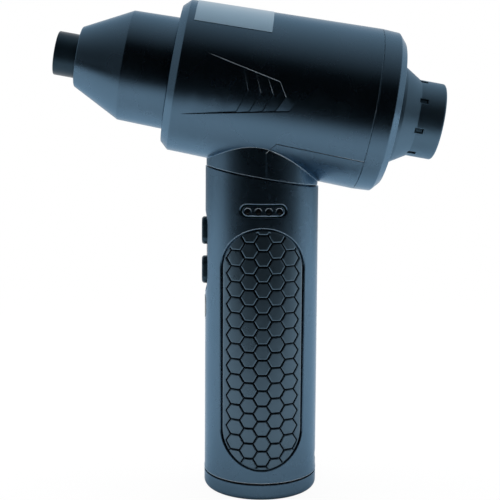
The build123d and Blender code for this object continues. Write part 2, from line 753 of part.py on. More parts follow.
def frame_holes():
    """Pilot holes for the cap screws, and driver shafts and screw holes in the posts."""
    holes = [Pos(x, y, 9) * Cylinder(1.22, 8.0, align=UP) for x, y in screw_places()]
    for side in (-1, 1):
        shaft = Cylinder(2.0, POST_TOP_Z - 2.0 - 80.0, align=UP)
        holes.append(Pos(POST_X, side * POST_Y, 80.0) * shaft)
        holes.append(Pos(POST_X, side * POST_Y, 110.0) * Cylinder(1.05, 12.0, align=UP))
    return joined(holes)


def battery_board():
    """Protection board above the cells with a row of chips."""
    board = Pos(0, 0, 87.2) * Box(19.0, 25.0, 1.2, align=UP)
    for y in (-8, 0, 8):
        board += Pos(-4.0, y, 88.4) * Box(5.0, 4.0, 1.4, align=UP)
    return board


def controller_board():
    return Pos(-2.2, 0, BOARD_Z) * Box(23.4, 22.0, BOARD_T, align=UP)


def controller_chips():
    """Six switching transistors and a capacitor on the controller board."""
    top = BOARD_Z + BOARD_T
    chip = Box(4.6, 5.0, 1.1, align=UP)
    made = [Pos(x, y, top) * chip for y in (-7.5, 0.0, 7.5) for x in (-1.0, 4.6)]
    made.append(Pos(-9.5, -6.0, top) * Cylinder(3.0, 4.5, align=UP))
    return Compound(made)


def battery_leads():
    """Two insulated wires from the battery board up to the controller board."""
    wire = Cylinder(0.9, BOARD_Z - 88.4, align=UP)
    return Compound([Pos(6.0, s * 4.0, 88.4) * wire for s in (-1, 1)])


def charge_port():
    """USB-C receptacle shell with its contact tongue, facing out of the back of the grip."""
    outside = extrude(SlotOverall(PORT_W, PORT_H, rotation=90), 7.3)
    inside = extrude(SlotOverall(PORT_W - 0.6, PORT_H - 0.6, rotation=90), 6.6)
    tongue = Pos(0, 0, 0.4) * Box(0.7, 6.7, 5.4, align=UP)
    shell = outside - Pos(0, 0, 0.7) * inside + tongue
    return Pos(14.6, 0, PORT_Z) * Rot(0, 90, 0) * shell


def charge_board():
    return Pos(13.2, 0, 10.2) * Box(11.0, 14.0, 1.1, align=UP)


# ---- assembly ----
def make_barrel():
    parts["barrel_shell"], parts["saddle_cover"] = casings()
    parts["rear_cap"] = rear_cap()
    parts["foil_label"] = label()
    parts["fan_duct"] = fan_duct()
    parts["duct_rings"] = duct_rings()
    parts["cover_screws"] = cover_screws()


def make_motor():
    parts["motor_housing"] = motor_housing()
    parts["motor_end_cap"] = motor_end_cap()
    parts["stator_core"] = stator_core()
    parts["stator_coils"] = stator_coils()
    parts["motor_bearings"] = motor_bearings()
    parts["tail_cone"] = tail_cone()
    parts["motor_cable"] = motor_cable()
    parts["rotor_shaft"] = rotor_shaft()
    parts["rotor_magnet"] = rotor_magnet()
    parts["impeller"] = impeller()
    parts["impeller_nut"] = impeller_nut()


def make_ends():
    parts["nozzle_body"] = nozzle_body()
    parts["nozzle_tip"] = nozzle_tip()
    parts["nozzle_seal"] = nozzle_seal()
    parts["intake_collar"] = intake_collar()
    parts["intake_cage"] = intake_cage()
    parts["intake_filter"] = intake_filter()
    parts["intake_seal"] = intake_seal()


def make_grip():
    parts["grip_tube"] = grip_tube()
    parts["grip_pad_left"] = grip_pad()
    parts["grip_pad_right"] = mirror(grip_pad(), Plane.XZ)
    parts["button_panel"] = button_panel()
    parts["speed_button"], parts["power_button"] = [button(z) for z in BUTTON_ZS]
    parts["speed_stem"], parts["power_stem"] = [switch_stem(z) for z in BUTTON_ZS]
    parts["tact_switches"] = tact_switches()
    parts["button_board"] = button_board()
    parts["light_lens"] = light_lens()
    parts["light_board"] = light_board()
    parts["indicator_bezel"] = indicator_bezel()
    parts["light_pipes"] = light_pipes()
    parts["indicator_board"] = indicator_board()


def make_base():
    parts["bottom_cap"] = bottom_cap()
    parts["base_pad"] = base_pad()
    parts["cap_gasket"] = cap_gasket()
    parts["cap_screws"] = cap_screws()


def make_power():
    parts["battery_frame"] = battery_frame()
    parts["battery_cells"] = battery_cells()
    parts["cell_straps"] = cell_straps()
    parts["battery_board"] = battery_board()
    parts["frame_screws"] = frame_screws()
    parts["battery_leads"] = battery_leads()
    parts["controller_board"] = controller_board()
    parts["controller_chips"] = controller_chips()
    parts["charge_port"] = charge_port()
    parts["charge_board"] = charge_board()


make_barrel()
make_motor()
make_ends()
make_grip()
make_base()
make_power()

os.makedirs("parts", exist_ok=True)
for name, shape in parts.items():
    export_step(shape, f"parts/{name}.step")
print(len(parts), "nodes")
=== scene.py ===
import json
import math

import bmesh
import bpy
from mathutils import Matrix, Vector
from mathutils.geometry import delaunay_2d_cdt


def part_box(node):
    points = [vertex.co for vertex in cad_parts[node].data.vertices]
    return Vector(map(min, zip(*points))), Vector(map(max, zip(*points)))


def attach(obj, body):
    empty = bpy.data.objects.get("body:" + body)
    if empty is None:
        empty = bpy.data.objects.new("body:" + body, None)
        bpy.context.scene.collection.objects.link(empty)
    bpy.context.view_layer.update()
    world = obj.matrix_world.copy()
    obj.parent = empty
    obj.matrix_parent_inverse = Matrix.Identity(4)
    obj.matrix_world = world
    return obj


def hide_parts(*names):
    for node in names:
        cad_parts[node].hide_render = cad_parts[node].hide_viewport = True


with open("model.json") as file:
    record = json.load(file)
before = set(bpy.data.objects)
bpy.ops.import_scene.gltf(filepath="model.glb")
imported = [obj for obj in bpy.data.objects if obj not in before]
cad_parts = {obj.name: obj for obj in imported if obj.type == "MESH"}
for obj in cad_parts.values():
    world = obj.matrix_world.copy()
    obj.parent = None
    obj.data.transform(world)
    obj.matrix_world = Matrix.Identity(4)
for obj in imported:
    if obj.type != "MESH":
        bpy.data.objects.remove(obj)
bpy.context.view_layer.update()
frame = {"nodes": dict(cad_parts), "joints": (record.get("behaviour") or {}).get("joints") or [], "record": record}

mm = 0.001
record = frame["record"]
joints = {joint["name"]: joint for joint in frame["joints"]}
bodyOf = {node: body for body, nodes in record["behaviour"]["bodies"].items() for node in nodes}
slotOf = {part["node"]: part["material_slot"] for part in record["subparts"]}

# the barrel's own frame: along it, up from it and out of its near side
barrelAxis = Vector(joints["fan_spin"]["axis"])
barrelHub = Vector(joints["fan_spin"]["pos_m"])
nearSide = Vector((0, -1, 0))
barrelUp = nearSide.cross(barrelAxis)
gripAxis = Vector((0, 0, 1))
turnAxes = ((barrelHub, barrelAxis), (Vector((0, 0, 0)), gripAxis))

# the grip tube tapers a little, in millimetres
gripRadius = {"foot": 22.9, "top": 22.6, "footZ": 7.35, "topZ": 128.05}


def gripTaper():
    return (gripRadius["top"] - gripRadius["foot"]) / (gripRadius["topZ"] - gripRadius["footZ"])


def gripSkin(z):
    return gripRadius["foot"] + gripTaper() * (z - gripRadius["footZ"])


def linearColour(code):
    channels = [int(code[i:i + 2], 16) / 255 for i in (1, 3, 5)]
    linear = [c / 12.92 if c <= 0.04045 else ((c + 0.055) / 1.055) ** 2.4 for c in channels]
    return (*linear, 1.0)


def perMetre(size):
    return 1 / (size * mm)         # texture scale for a pattern of that many millimetres


def addNode(tree, kind, inputs=None, **settings):
    # a node among the inputs stands for its first output
    node = tree.nodes.new(kind)
    for name, value in settings.items():
        setattr(node, name, value)
    for name, value in (inputs or {}).items():
        if isinstance(value, bpy.types.Node):
            value = value.outputs[0]
        if isinstance(value, bpy.types.NodeSocket):
            tree.links.new(value, node.inputs[name])
        else:
            node.inputs[name].default_value = value
    return node


def newObject(name, mesh):
    piece = bpy.data.objects.new(name, mesh)
    bpy.context.scene.collection.objects.link(piece)
    return piece


def meshFrom(bm, name, turnOut=False):
    # turnOut faces a built shape outwards
    if turnOut:
        bmesh.ops.recalc_face_normals(bm, faces=bm.faces)
    mesh = bpy.data.meshes.new(name)
    bm.to_mesh(mesh)
    bm.free()
    return mesh


def joinLoops(bm, here, there):
    for i in range(len(here)):
        bm.faces.new((here[i - 1], here[i], there[i], there[i - 1]))


# smooth shading of turned and moulded shapes
shading = {
    "merge": 0.001 * mm, "crease": 20, "trimCrease": 50, "swing": 0.15,
    "straight": 0.003 * mm,        # how far a corner may lie off a straight profile
    "shortest": 0.03 * mm,         # a shorter piece of profile gives no slope
}


def profileSpot(point, origin, axis):
    # distance along the axis and out from it, and the way out
    arm = point - origin
    along = arm.dot(axis)
    out = arm - axis * along
    return Vector((along, out.length)), out.normalized()


def turnOf(face):
    # the axis that a face is turned about, with its profile's normal, if it is part of a turned surface
    for origin, axis in turnAxes:
        spots, outs = zip(*(profileSpot(vert.co, origin, axis) for vert in face.verts))
        ends = max(((p, q) for p in spots for q in spots), key=lambda pair: (pair[0] - pair[1]).length)
        way = ends[1] - ends[0]
        if way.length < shading["shortest"]:
            continue
        across = Vector((-way.y, way.x)).normalized()
        if max(abs((spot - ends[0]).dot(across)) for spot in spots) > shading["straight"]:
            continue
        normals = [axis * across.x + out * across.y for out in outs]
        if normals[0].dot(face.normal) < 0:
            across = -across
            normals = [-normal for normal in normals]
        if min(normal.dot(face.normal) for normal in normals) > math.cos(shading["swing"]):
            return origin, axis, across
    return None


def normalAt(face, turn, point):
    if turn is None:
        return face.normal
    origin, axis, across = turn
    out = profileSpot(point, origin, axis)[1]
    return axis * across.x + out * across.y


def cornerNormals(bm):
    # a corner takes the true turned normal of the largest faces that meet it within the crease angle
    crease = math.cos(math.radians(shading["crease"]))
    turns = {face: turnOf(face) for face in bm.faces}
    weights = {face: face.calc_area() ** 2 for face in bm.faces}
    corners = {}
    for vert in bm.verts:
        around = [(face, normalAt(face, turns[face], vert.co)) for face in vert.link_faces]
        for face, own in around:
            total = Vector((0, 0, 0))
            for other, normal in around:
                if own.dot(normal) > crease:
                    total += normal * weights[other]
            corners[face.index, vert.index] = total.normalized() if total.length > 0 else own
    return corners


def shadeMesh(mesh, turnOut=False):
    # turnOut faces a built mesh outwards; a copy of a CAD node already does
    bm = bmesh.new()
    bm.from_mesh(mesh)
    bmesh.ops.remove_doubles(bm, verts=bm.verts, dist=shading["merge"])
    if turnOut:
        bmesh.ops.recalc_face_normals(bm, faces=bm.faces)
    bm.normal_update()
    bm.verts.index_update()
    bm.faces.index_update()
    corners = cornerNormals(bm)
    bm.to_mesh(mesh)
    bm.free()
    mesh.shade_smooth()
    normals = [corners[poly.index, v] for poly in mesh.polygons for v in poly.vertices]
    mesh.normals_split_custom_set(normals)


def finishPiece(piece, material, *nodes):
    # the piece takes the body and slot of the CAD node that it stands for
    piece.data.materials.clear()
    piece.data.materials.append(material)
    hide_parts(*nodes)
    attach(piece, bodyOf[nodes[0]])


def addTrim(name, mesh, node):
    # a small piece beside the CAD's own, of the same stuff as the node it rides with
    mesh.shade_smooth()
    mesh.set_sharp_from_angle(angle=math.radians(shading["trimCrease"]))
    piece = newObject(name, mesh)
    piece.data.materials.append(materials[slotOf[node]])
    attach(piece, bodyOf[node])


def barrelPlace(along):
    # from millimetres about the Z axis to metres about the barrel's axis, from a place along it
    turn = barrelAxis.to_track_quat("Z", "Y").to_matrix().to_4x4()
    return Matrix.Translation(barrelHub + barrelAxis * along * mm) @ turn @ Matrix.Scale(mm, 4)


def smoothPiece(node, name):
    piece = newObject(name, frame["nodes"][node].data.copy())
    shadeMesh(piece.data)
    finishPiece(piece, materials.get(node, materials[slotOf[node]]), node)


# one material for each slot of the record, and one for a node that has a finish of its own
materials = {}


def newMaterial(slot, name, base, roughness, metallic=0.0):
    material = bpy.data.materials.new(name)
    material.use_nodes = True
    tree = material.node_tree
    shader = tree.nodes["Principled BSDF"]
    shader.inputs["Base Color"].default_value = linearColour(base)
    shader.inputs["Roughness"].default_value = roughness
    shader.inputs["Metallic"].default_value = metallic
    materials[slot] = material
    return tree, shader, addNode(tree, "ShaderNodeTexCoord").outputs["Object"]


# how finely the surfaces are drawn
fineness = {
    "grainDetail": 3.0, "patchDetail": 4.0, "streakDetail": 2.0, "edgeSamples": 6, "coverSamples": 8,
    "noiseMiddle": (0.3, 0.7),     # where most of a noise's values lie
}


def addGrain(tree, shader, place, grain, edge=0.0):
    # surface grain of a real size and height, over edges rounded by a real radius, all in millimetres
    size, height = grain
    noise = addNode(tree, "ShaderNodeTexNoise", {
        "Vector": place, "Scale": perMetre(size), "Detail": fineness["grainDetail"]})
    bump = addNode(tree, "ShaderNodeBump", {
        "Height": noise.outputs["Fac"], "Distance": height * mm, "Strength": 1.0})
    if edge:
        rounded = addNode(tree, "ShaderNodeBevel", {"Radius": edge * mm},
                          samples=fineness["edgeSamples"])
        tree.links.new(rounded.outputs["Normal"], bump.inputs["Normal"])
    tree.links.new(bump.outputs["Normal"], shader.inputs["Normal"])


def addMottle(tree, shader, place, patch, colours, roughness):
    # slow changes of colour and gloss over a patch size in millimetres
    low, high = fineness["noiseMiddle"]
    noise = addNode(tree, "ShaderNodeTexNoise", {
        "Vector": place, "Scale": perMetre(patch), "Detail": fineness["patchDetail"]})
    mix = addNode(tree, "ShaderNodeMix", {
        "Factor": noise.outputs["Fac"], "A": linearColour(colours[0]), "B": linearColour(colours[1])},
        data_type="RGBA")
    spread = addNode(tree, "ShaderNodeMapRange", {
        "Value": noise.outputs["Fac"], "From Min": low, "From Max": high,
        "To Min": roughness[0], "To Max": roughness[1]})
    tree.links.new(mix.outputs["Result"], shader.inputs["Base Color"])
    tree.links.new(spread.outputs["Result"], shader.inputs["Roughness"])


def mixColour(tree, shader, factor, colour):
    # lays a colour over what the shader's base colour already has
    socket = shader.inputs["Base Color"]
    mix = addNode(tree, "ShaderNodeMix", {
        "Factor": factor, "A": socket.links[0].from_socket, "B": linearColour(colour)},
        data_type="RGBA")
    tree.links.new(mix.outputs["Result"], socket)


# lacquer of the shell and the collar, with its painted edge highlights and painted seam shade, sizes in
# millimetres
lacquer = {
    "patch": 14, "grain": 0.9, "edge": 0.4,
    "rimTint": "#d3e1ed",          # it keeps its blue towards the rims
    # painted highlight along edges that turn downwards: its width and colour
    "highlightWidth": 0.4, "paintedHighlightColour": "#bcc8d1",
    "highlightReach": 1.2,              # how near another surface still keeps an edge dark
    # the painted highlight grows from none to full: how far an edge turns down, how open it lies, how much it
    # looks down
    "highlightTurn": (0.08, 0.2), "highlightOpen": (0.78, 0.95), "highlightUnder": (0.0, -0.15),
    # painted shade in seams and inner corners: how far it looks, its colour, and the cover over which it fades in
    "seamShadeReach": 0.4, "seamShadeColour": "#05070a", "seamShadeCover": (0.7, 0.3),
}


def addPaintedEdgeHighlights(tree, shader):
    # painted highlight: the lacquer's colour is made paler along open edges that turn downwards
    rounded = addNode(tree, "ShaderNodeBevel", {"Radius": lacquer["highlightWidth"] * mm},
                      samples=fineness["edgeSamples"]).outputs["Normal"]
    facing = addNode(tree, "ShaderNodeNewGeometry").outputs["Normal"]
    turn = addNode(tree, "ShaderNodeVectorMath", {0: facing, 1: rounded}, operation="SUBTRACT")
    down = addNode(tree, "ShaderNodeSeparateXYZ", {"Vector": turn})
    cover = addNode(tree, "ShaderNodeAmbientOcclusion", {"Distance": lacquer["highlightReach"] * mm},
                    samples=fineness["coverSamples"])
    level = addNode(tree, "ShaderNodeSeparateXYZ", {"Vector": rounded})
    paintedHighlight = 1.0
    for name, value in (("highlightTurn", down.outputs["Z"]), ("highlightOpen", cover.outputs["AO"]),
                        ("highlightUnder", level.outputs["Z"])):
        low, high = lacquer[name]
        share = addNode(tree, "ShaderNodeMapRange", {"Value": value, "From Min": low, "From Max": high})
        paintedHighlight = addNode(tree, "ShaderNodeMath", {0: paintedHighlight, 1: share}, operation="MULTIPLY").outputs[0]
    mixColour(tree, shader, paintedHighlight, lacquer["paintedHighlightColour"])


def addPaintedSeamShade(tree, shader):
    # painted shade: seams and inner corners of pressed lines are painted darker where other surfaces lie near
    low, high = lacquer["seamShadeCover"]
    cover = addNode(tree, "ShaderNodeAmbientOcclusion", {"Distance": lacquer["seamShadeReach"] * mm},
                    samples=fineness["coverSamples"])
    dark = addNode(tree, "ShaderNodeMapRange", {
        "Value": cover.outputs["AO"], "From Min": low, "From Max": high})
    mixColour(tree, shader, dark.outputs["Result"], lacquer["seamShadeColour"])


def lacqueredShell():
    # ABS sprayed with a satin gunmetal lacquer: a dark metal-flake blue grey that mirrors softly
    tree, shader, place = newMaterial("casing", "gunmetalLacqueredAbs", "#4f6577", 0.27, 1.0)
    addMottle(tree, shader, place, lacquer["patch"], ("#4c6578", "#536b7f"), (0.25, 0.29))
    addGrain(tree, shader, place, (lacquer["grain"], 0.001), lacquer["edge"])
    # painted highlights along open edges that turn downwards
    addPaintedEdgeHighlights(tree, shader)
    # painted shade in seams and inner corners
    addPaintedSeamShade(tree, shader)
    shader.inputs["Specular Tint"].default_value = linearColour(lacquer["rimTint"])


def lacqueredCollar():
    # ABS intake collar under a duller coat of the same lacquer, so its highlights spread wider
    tree, shader, place = newMaterial("intake_collar", "mattLacqueredAbs", "#4d6678", 0.39, 0.97)
    addMottle(tree, shader, place, lacquer["patch"], ("#4b6476", "#526a7d"), (0.37, 0.41))
    addGrain(tree, shader, place, (lacquer["grain"], 0.002), lacquer["edge"])
    # painted shade in seams and inner corners
    addPaintedSeamShade(tree, shader)
    shader.inputs["Specular Tint"].default_value = linearColour(lacquer["rimTint"])


def moulded(slot, name, colours, roughness, grain, edge=0.2, metallic=0.0, patch=6):
    tree, shader, place = newMaterial(slot, name, colours[0], roughness[0], metallic)
    addMottle(tree, shader, place, patch, colours, roughness)
    addGrain(tree, shader, place, grain, edge)
    return shader


def bareShadedGrooves(shader, depth, blur, colour):
    # near-black bare moulding with painted groove shade shows wherever the grip's surface lies deeper than this,
    # in millimetres
    tree = shader.id_data
    place = addNode(tree, "ShaderNodeTexCoord").outputs["Object"]
    flat = addNode(tree, "ShaderNodeVectorMath", {0: place, 1: (1.0, 1.0, 0.0)}, operation="MULTIPLY")
    away = addNode(tree, "ShaderNodeVectorMath", {0: flat}, operation="LENGTH")
    rise = addNode(tree, "ShaderNodeSeparateXYZ", {"Vector": place}).outputs["Z"]
    skin = addNode(tree, "ShaderNodeMath", {
        0: rise, 1: gripTaper(), 2: gripSkin(0) * mm}, operation="MULTIPLY_ADD")
    below = addNode(tree, "ShaderNodeMath", {
        0: skin, 1: away.outputs["Value"]}, operation="SUBTRACT")
    bare = addNode(tree, "ShaderNodeMapRange", {
        "Value": below, "From Min": (depth - blur) * mm, "From Max": (depth + blur) * mm})
    mixColour(tree, shader, bare.outputs["Result"], colour)


def plastics():
    # glass-filled nylon nozzle tip and intake cage: greenish black, fine matt spark grain
    moulded("tip", "mattNylonTip", ("#20333f", "#283c49"), (0.34, 0.42),
            grain=(0.6, 0.004), metallic=0.8)
    # TPU pad under the same gunmetal lacquer as the shell, a little duller
    pads = moulded("grip", "lacqueredTpu", ("#4b5f6d", "#526675"), (0.27, 0.31),
                   grain=(0.7, 0.002), edge=0.0, metallic=0.97)
    # painted shade in the pad's grooves, together with their bare moulding
    bareShadedGrooves(pads, depth=0.32, blur=0.05, colour="#04060a")
    # polished ABS button panel and satin keys
    moulded("panel", "polishedAbsPanel", ("#14191d", "#181d21"), (0.12, 0.18), grain=(1.5, 0.001))
    moulded("button", "satinAbsKey", ("#233946", "#29404d"), (0.26, 0.32),
            grain=(0.6, 0.003), metallic=0.7)
    # frosted polycarbonate light cover
    cover = moulded("lens", "frostedPolycarbonate", ("#e4eae9", "#eceff0"), (0.4, 0.5),
                    grain=(0.8, 0.004))
    cover.inputs["Transmission Weight"].default_value = 0.35
    # nitrile seals, black moulded nylon, epoxy chips
    moulded("seal", "nitrileRubber", ("#101214", "#17191b"), (0.6, 0.72), grain=(0.5, 0.01))
    moulded("inner_plastic", "blackNylon", ("#17181a", "#1e1f22"), (0.4, 0.5), grain=(0.6, 0.006))
    moulded("chip", "epoxyChip", ("#141416", "#1c1c1e"), (0.5, 0.6), grain=(0.3, 0.004))
    # shrink-sleeved cells and silicone wire
    moulded("cell", "pvcSleeve", ("#15526f", "#1b5d7c"), (0.22, 0.3), grain=(8, 0.01))
    moulded("wire", "siliconeWire", ("#8f1414", "#a01a1a"), (0.4, 0.5), grain=(2, 0.004))


def smokedPipe():
    # smoked polycarbonate light pipes, dark until a lamp shines through
    tree, shader, place = newMaterial("pipe", "smokedPolycarbonate", "#0e1216", 0.12)
    shader.inputs["Transmission Weight"].default_value = 0.15
    shader.inputs["IOR"].default_value = 1.58
    addGrain(tree, shader, place, (1.0, 0.0005))


# brushing of the label, in millimetres, with how little it changes along its length
brushing = {"size": 0.5, "height": 0.002, "along": 0.08}


def foil():
    # brushed aluminium foil label, its grain drawn coarse enough to show
    tree, shader, place = newMaterial("label", "brushedFoil", "#86a2b6", 0.34, 0.85)
    stretch = addNode(tree, "ShaderNodeMapping", {
        "Vector": place, "Scale": (brushing["along"], 1.0, 1.0)})
    streaks = addNode(tree, "ShaderNodeTexNoise", {
        "Vector": stretch, "Scale": perMetre(brushing["size"]),
        "Detail": fineness["streakDetail"]})
    bump = addNode(tree, "ShaderNodeBump", {
        "Height": streaks.outputs["Fac"], "Distance": brushing["height"] * mm, "Strength": 1.0})
    tree.links.new(bump.outputs["Normal"], shader.inputs["Normal"])


def metal(slot, name, colours, roughness, grain, edge=0.1, patch=5):
    tree, shader, place = newMaterial(slot, name, colours[0], roughness[0], 1.0)
    addMottle(tree, shader, place, patch, colours, roughness)
    addGrain(tree, shader, place, grain, edge)


def metals():
    # bright zinc on screws, fine turning marks, dull lacquered laminations, glossy wire, rolled strip
    metal("steel", "zincPlatedSteel", ("#a7abae", "#b7babc"), (0.26, 0.34), grain=(0.5, 0.002))
    metal("motor", "turnedAluminium", ("#bfc1c4", "#cbcccf"), (0.28, 0.36), grain=(0.4, 0.003))
    metal("lamination", "lacqueredSteelSheet", ("#4a4c52", "#55575c"), (0.4, 0.5), grain=(0.5, 0.005))
    metal("winding", "enamelledCopper", ("#a3521f", "#b4602a"), (0.24, 0.32), grain=(0.4, 0.02))
    metal("strap", "nickelStrip", ("#aaa59c", "#b8b3aa"), (0.22, 0.3), grain=(0.6, 0.002))


# copper areas of the boards: their pitch in millimetres and the edge between copper and bare board
copper = {"pitch": 2.2, "edge": (0.25, 0.3), "over": "#1a6239", "bare": "#0e4427"}


def solderMask():
    # glass-epoxy board under green solder mask, with copper areas showing as a paler green
    tree, shader, place = newMaterial("board", "solderMaskBoard", "#0f4a2a", 0.3)
    low, high = copper["edge"]
    cells = addNode(tree, "ShaderNodeTexVoronoi", {
        "Vector": place, "Scale": perMetre(copper["pitch"])}, distance="CHEBYCHEV")
    ramp = addNode(tree, "ShaderNodeMapRange", {
        "Value": cells.outputs["Distance"], "From Min": low, "From Max": high})
    mix = addNode(tree, "ShaderNodeMix", {
        "Factor": ramp, "A": linearColour(copper["over"]),
        "B": linearColour(copper["bare"])}, data_type="RGBA")
    tree.links.new(mix.outputs["Result"], shader.inputs["Base Color"])
    addGrain(tree, shader, place, (0.8, 0.004))


for makeMaterial in (lacqueredShell, lacqueredCollar, plastics, smokedPipe, foil, metals, solderMask):
    makeMaterial()
print("materials:", len(materials))

for node, piece in frame["nodes"].items():
    piece.data.materials.clear()
    piece.data.materials.append(materials[slotOf[node]])


# grip pads: a soft plate with a rounded rim and a honeycomb of grooves, one on each side of the grip
pad = {
    "columnPitch": 5.32, "outerColumn": 2, "rowPitch": 6.145, "middleRows": 15, "firstRowZ": 103.66,
    "groove": 0.44, "depth": 0.5, "thick": 0.95, "spanX": 1.5, "arcSteps": 40,
    "lip": 0.25,                   # how far the rim reaches out over the pocket's groove
    "stubsTop": {0: 1.1, 1: 3.2, 2: 1.0}, "stubsBottom": {0: 0.9, 1: 2.4, 2: 0.8},
}
# a rounded edge, as distance in from the edge and height against the face
roundedEdge = ((0.0, -0.29), (0.06, -0.13), (0.4, 0.0))
grooveEdge = ((-0.03, -pad["depth"]), *roundedEdge)


def hexCentres():
    # outer columns are half a row shorter at each end
    centres = []
    for column in range(-pad["outerColumn"], pad["outerColumn"] + 1):
        shift = abs(column) / 2
        for row in range(pad["middleRows"] - abs(column)):
            centres.append(Vector((
                column * pad["columnPitch"], pad["firstRowZ"] - (row + shift) * pad["rowPitch"])))
    return centres


def circleOutline(centre, radius, steps):
    turns = [2 * math.pi * i / steps for i in range(steps)]
    return [centre + Vector((math.cos(a), math.sin(a))) * radius for a in turns]


def hexagon(centre, apothem):
    return circleOutline(centre, apothem / math.cos(math.pi / 6), 6)


def hexDistance(point, centre):
    arm = point - centre
    turns = (math.pi / 6, math.pi / 2, math.pi * 5 / 6)
    return max(abs(arm.x * math.cos(a) + arm.y * math.sin(a)) for a in turns)


def stubs():
    # short grooves that run on from the outermost corners towards the pad's ends: start, way, length
    found = []
    side = pad["rowPitch"] / math.sqrt(3)
    lastZ = pad["firstRowZ"] - (pad["middleRows"] - 1) * pad["rowPitch"]
    for ends, firstZ, lengths in ((1, pad["firstRowZ"], pad["stubsTop"]),
                                  (-1, lastZ, pad["stubsBottom"])):
        for column, length in lengths.items():
            edgeZ = firstZ + ends * (1 - column) * pad["rowPitch"] / 2
            for hand in (-1, 1):
                start = Vector((hand * (column * pad["columnPitch"] + side / 2), edgeZ))
                found.append((start, Vector((hand * 0.5, ends * math.sqrt(0.75))), length))
    return found


def stubBar(stub, reach):
    start, way, length = stub
    across = Vector((-way.y, way.x)) * (pad["groove"] / 2 + reach)
    tip = start + way * (length + reach)
    return [start - across, tip - across, tip + across, start + across]


def stubDistance(point, stub):
    start, way, length = stub
    arm = point - start
    aside = abs(arm.x * way.y - arm.y * way.x) - pad["groove"] / 2
    along = arm.dot(way)
    return max(aside, along - length, -along)


def pillOutline(halfWidth, halfLength, centre, inset, upright=True):
    radius = halfWidth - inset
    points = []
    for hand in (1, -1):
        for step in range(pad["arcSteps"] + 1):
            angle = math.pi * step / pad["arcSteps"]
            point = Vector((
                radius * math.cos(angle), radius * math.sin(angle) + halfLength - halfWidth)) * hand
            points.append(centre + (point if upright else Vector((point.y, -point.x))))
    return points


def pillDistance(point, halfWidth, halfLength, centre, upright=True):
    # how far inside the pill a point lies
    arm = point - centre
    if not upright:
        arm = Vector((arm.y, arm.x))
    over = max(0.0, abs(arm.y) - (halfLength - halfWidth))
    return halfWidth - math.hypot(arm.x, over)


def dip(distance, profile):
    # height of a rounded edge at a distance in from it
    if distance <= profile[0][0]:
        return profile[0][1]
    for (nearD, nearH), (farD, farH) in zip(profile, profile[1:]):
        if distance <= farD:
            return nearH + (farH - nearH) * (distance - nearD) / (farD - nearD)
    return 0.0


# the flat triangulation keeps what lies inside an outline, and takes nearer points as one
triangles = {"inside": 1, "weld": 1e-5}


def reliefPlate(name, contours, spans, height, thick):
    # closed flat plate: x across, y its height over the grip's skin, z up; contours[0] is its outline
    points, faces, edges = [], [], []
    for polygon in contours:
        faces.append(list(range(len(points), len(points) + len(polygon))))
        points += polygon
    for span in spans:
        edges.append((len(points), len(points) + 1))
        points += span
    spots, _, cells, _, _, owners = delaunay_2d_cdt(
        points, edges, faces, triangles["inside"], triangles["weld"])
    cells = [cell for cell, owner in zip(cells, owners) if 0 in owner]
    bm = bmesh.new()
    used = sorted({i for cell in cells for i in cell})
    tops = {i: bm.verts.new((spots[i].x, height(spots[i]), spots[i].y)) for i in used}
    feet = {i: bm.verts.new((spots[i].x, -thick, spots[i].y)) for i in used}
    sides = {(a, b) for cell in cells for a, b in zip(cell, cell[1:] + cell[:1])}
    for cell in cells:
        bm.faces.new([tops[i] for i in reversed(cell)])
        bm.faces.new([feet[i] for i in cell])
    for a, b in sides:
        if (b, a) not in sides:
            bm.faces.new((tops[a], tops[b], feet[b], feet[a]))
    return meshFrom(bm, name)


def padPlate(low, high):
    halfWidth, halfLength = high.x / mm + pad["lip"], (high.z - low.z) / 2 / mm + pad["lip"]
    centre = Vector((0, (high.z + low.z) / 2 / mm))
    reach = pad["rowPitch"] / 2 + pad["groove"] / 2
    contours = [pillOutline(halfWidth, halfLength, centre, inset) for inset, _ in roundedEdge]
    for offset, _ in grooveEdge:
        contours += [hexagon(c, reach + offset) for c in hexCentres()]
        contours += [stubBar(stub, offset) for stub in stubs()]
    steps = int(halfWidth / pad["spanX"])
    spans = [(Vector((i * pad["spanX"], low.z / mm)), Vector((i * pad["spanX"], high.z / mm)))
             for i in range(-steps, steps + 1)]
    centres, bars = hexCentres(), stubs()

    def height(point):
        rim = dip(pillDistance(point, halfWidth, halfLength, centre), roundedEdge)
        near = min(hexDistance(point, c) for c in centres) - reach
        near = min([near] + [stubDistance(point, bar) for bar in bars])
        return min(rim, dip(near, grooveEdge))

    return reliefPlate("padPlate", contours, spans, height, pad["thick"])


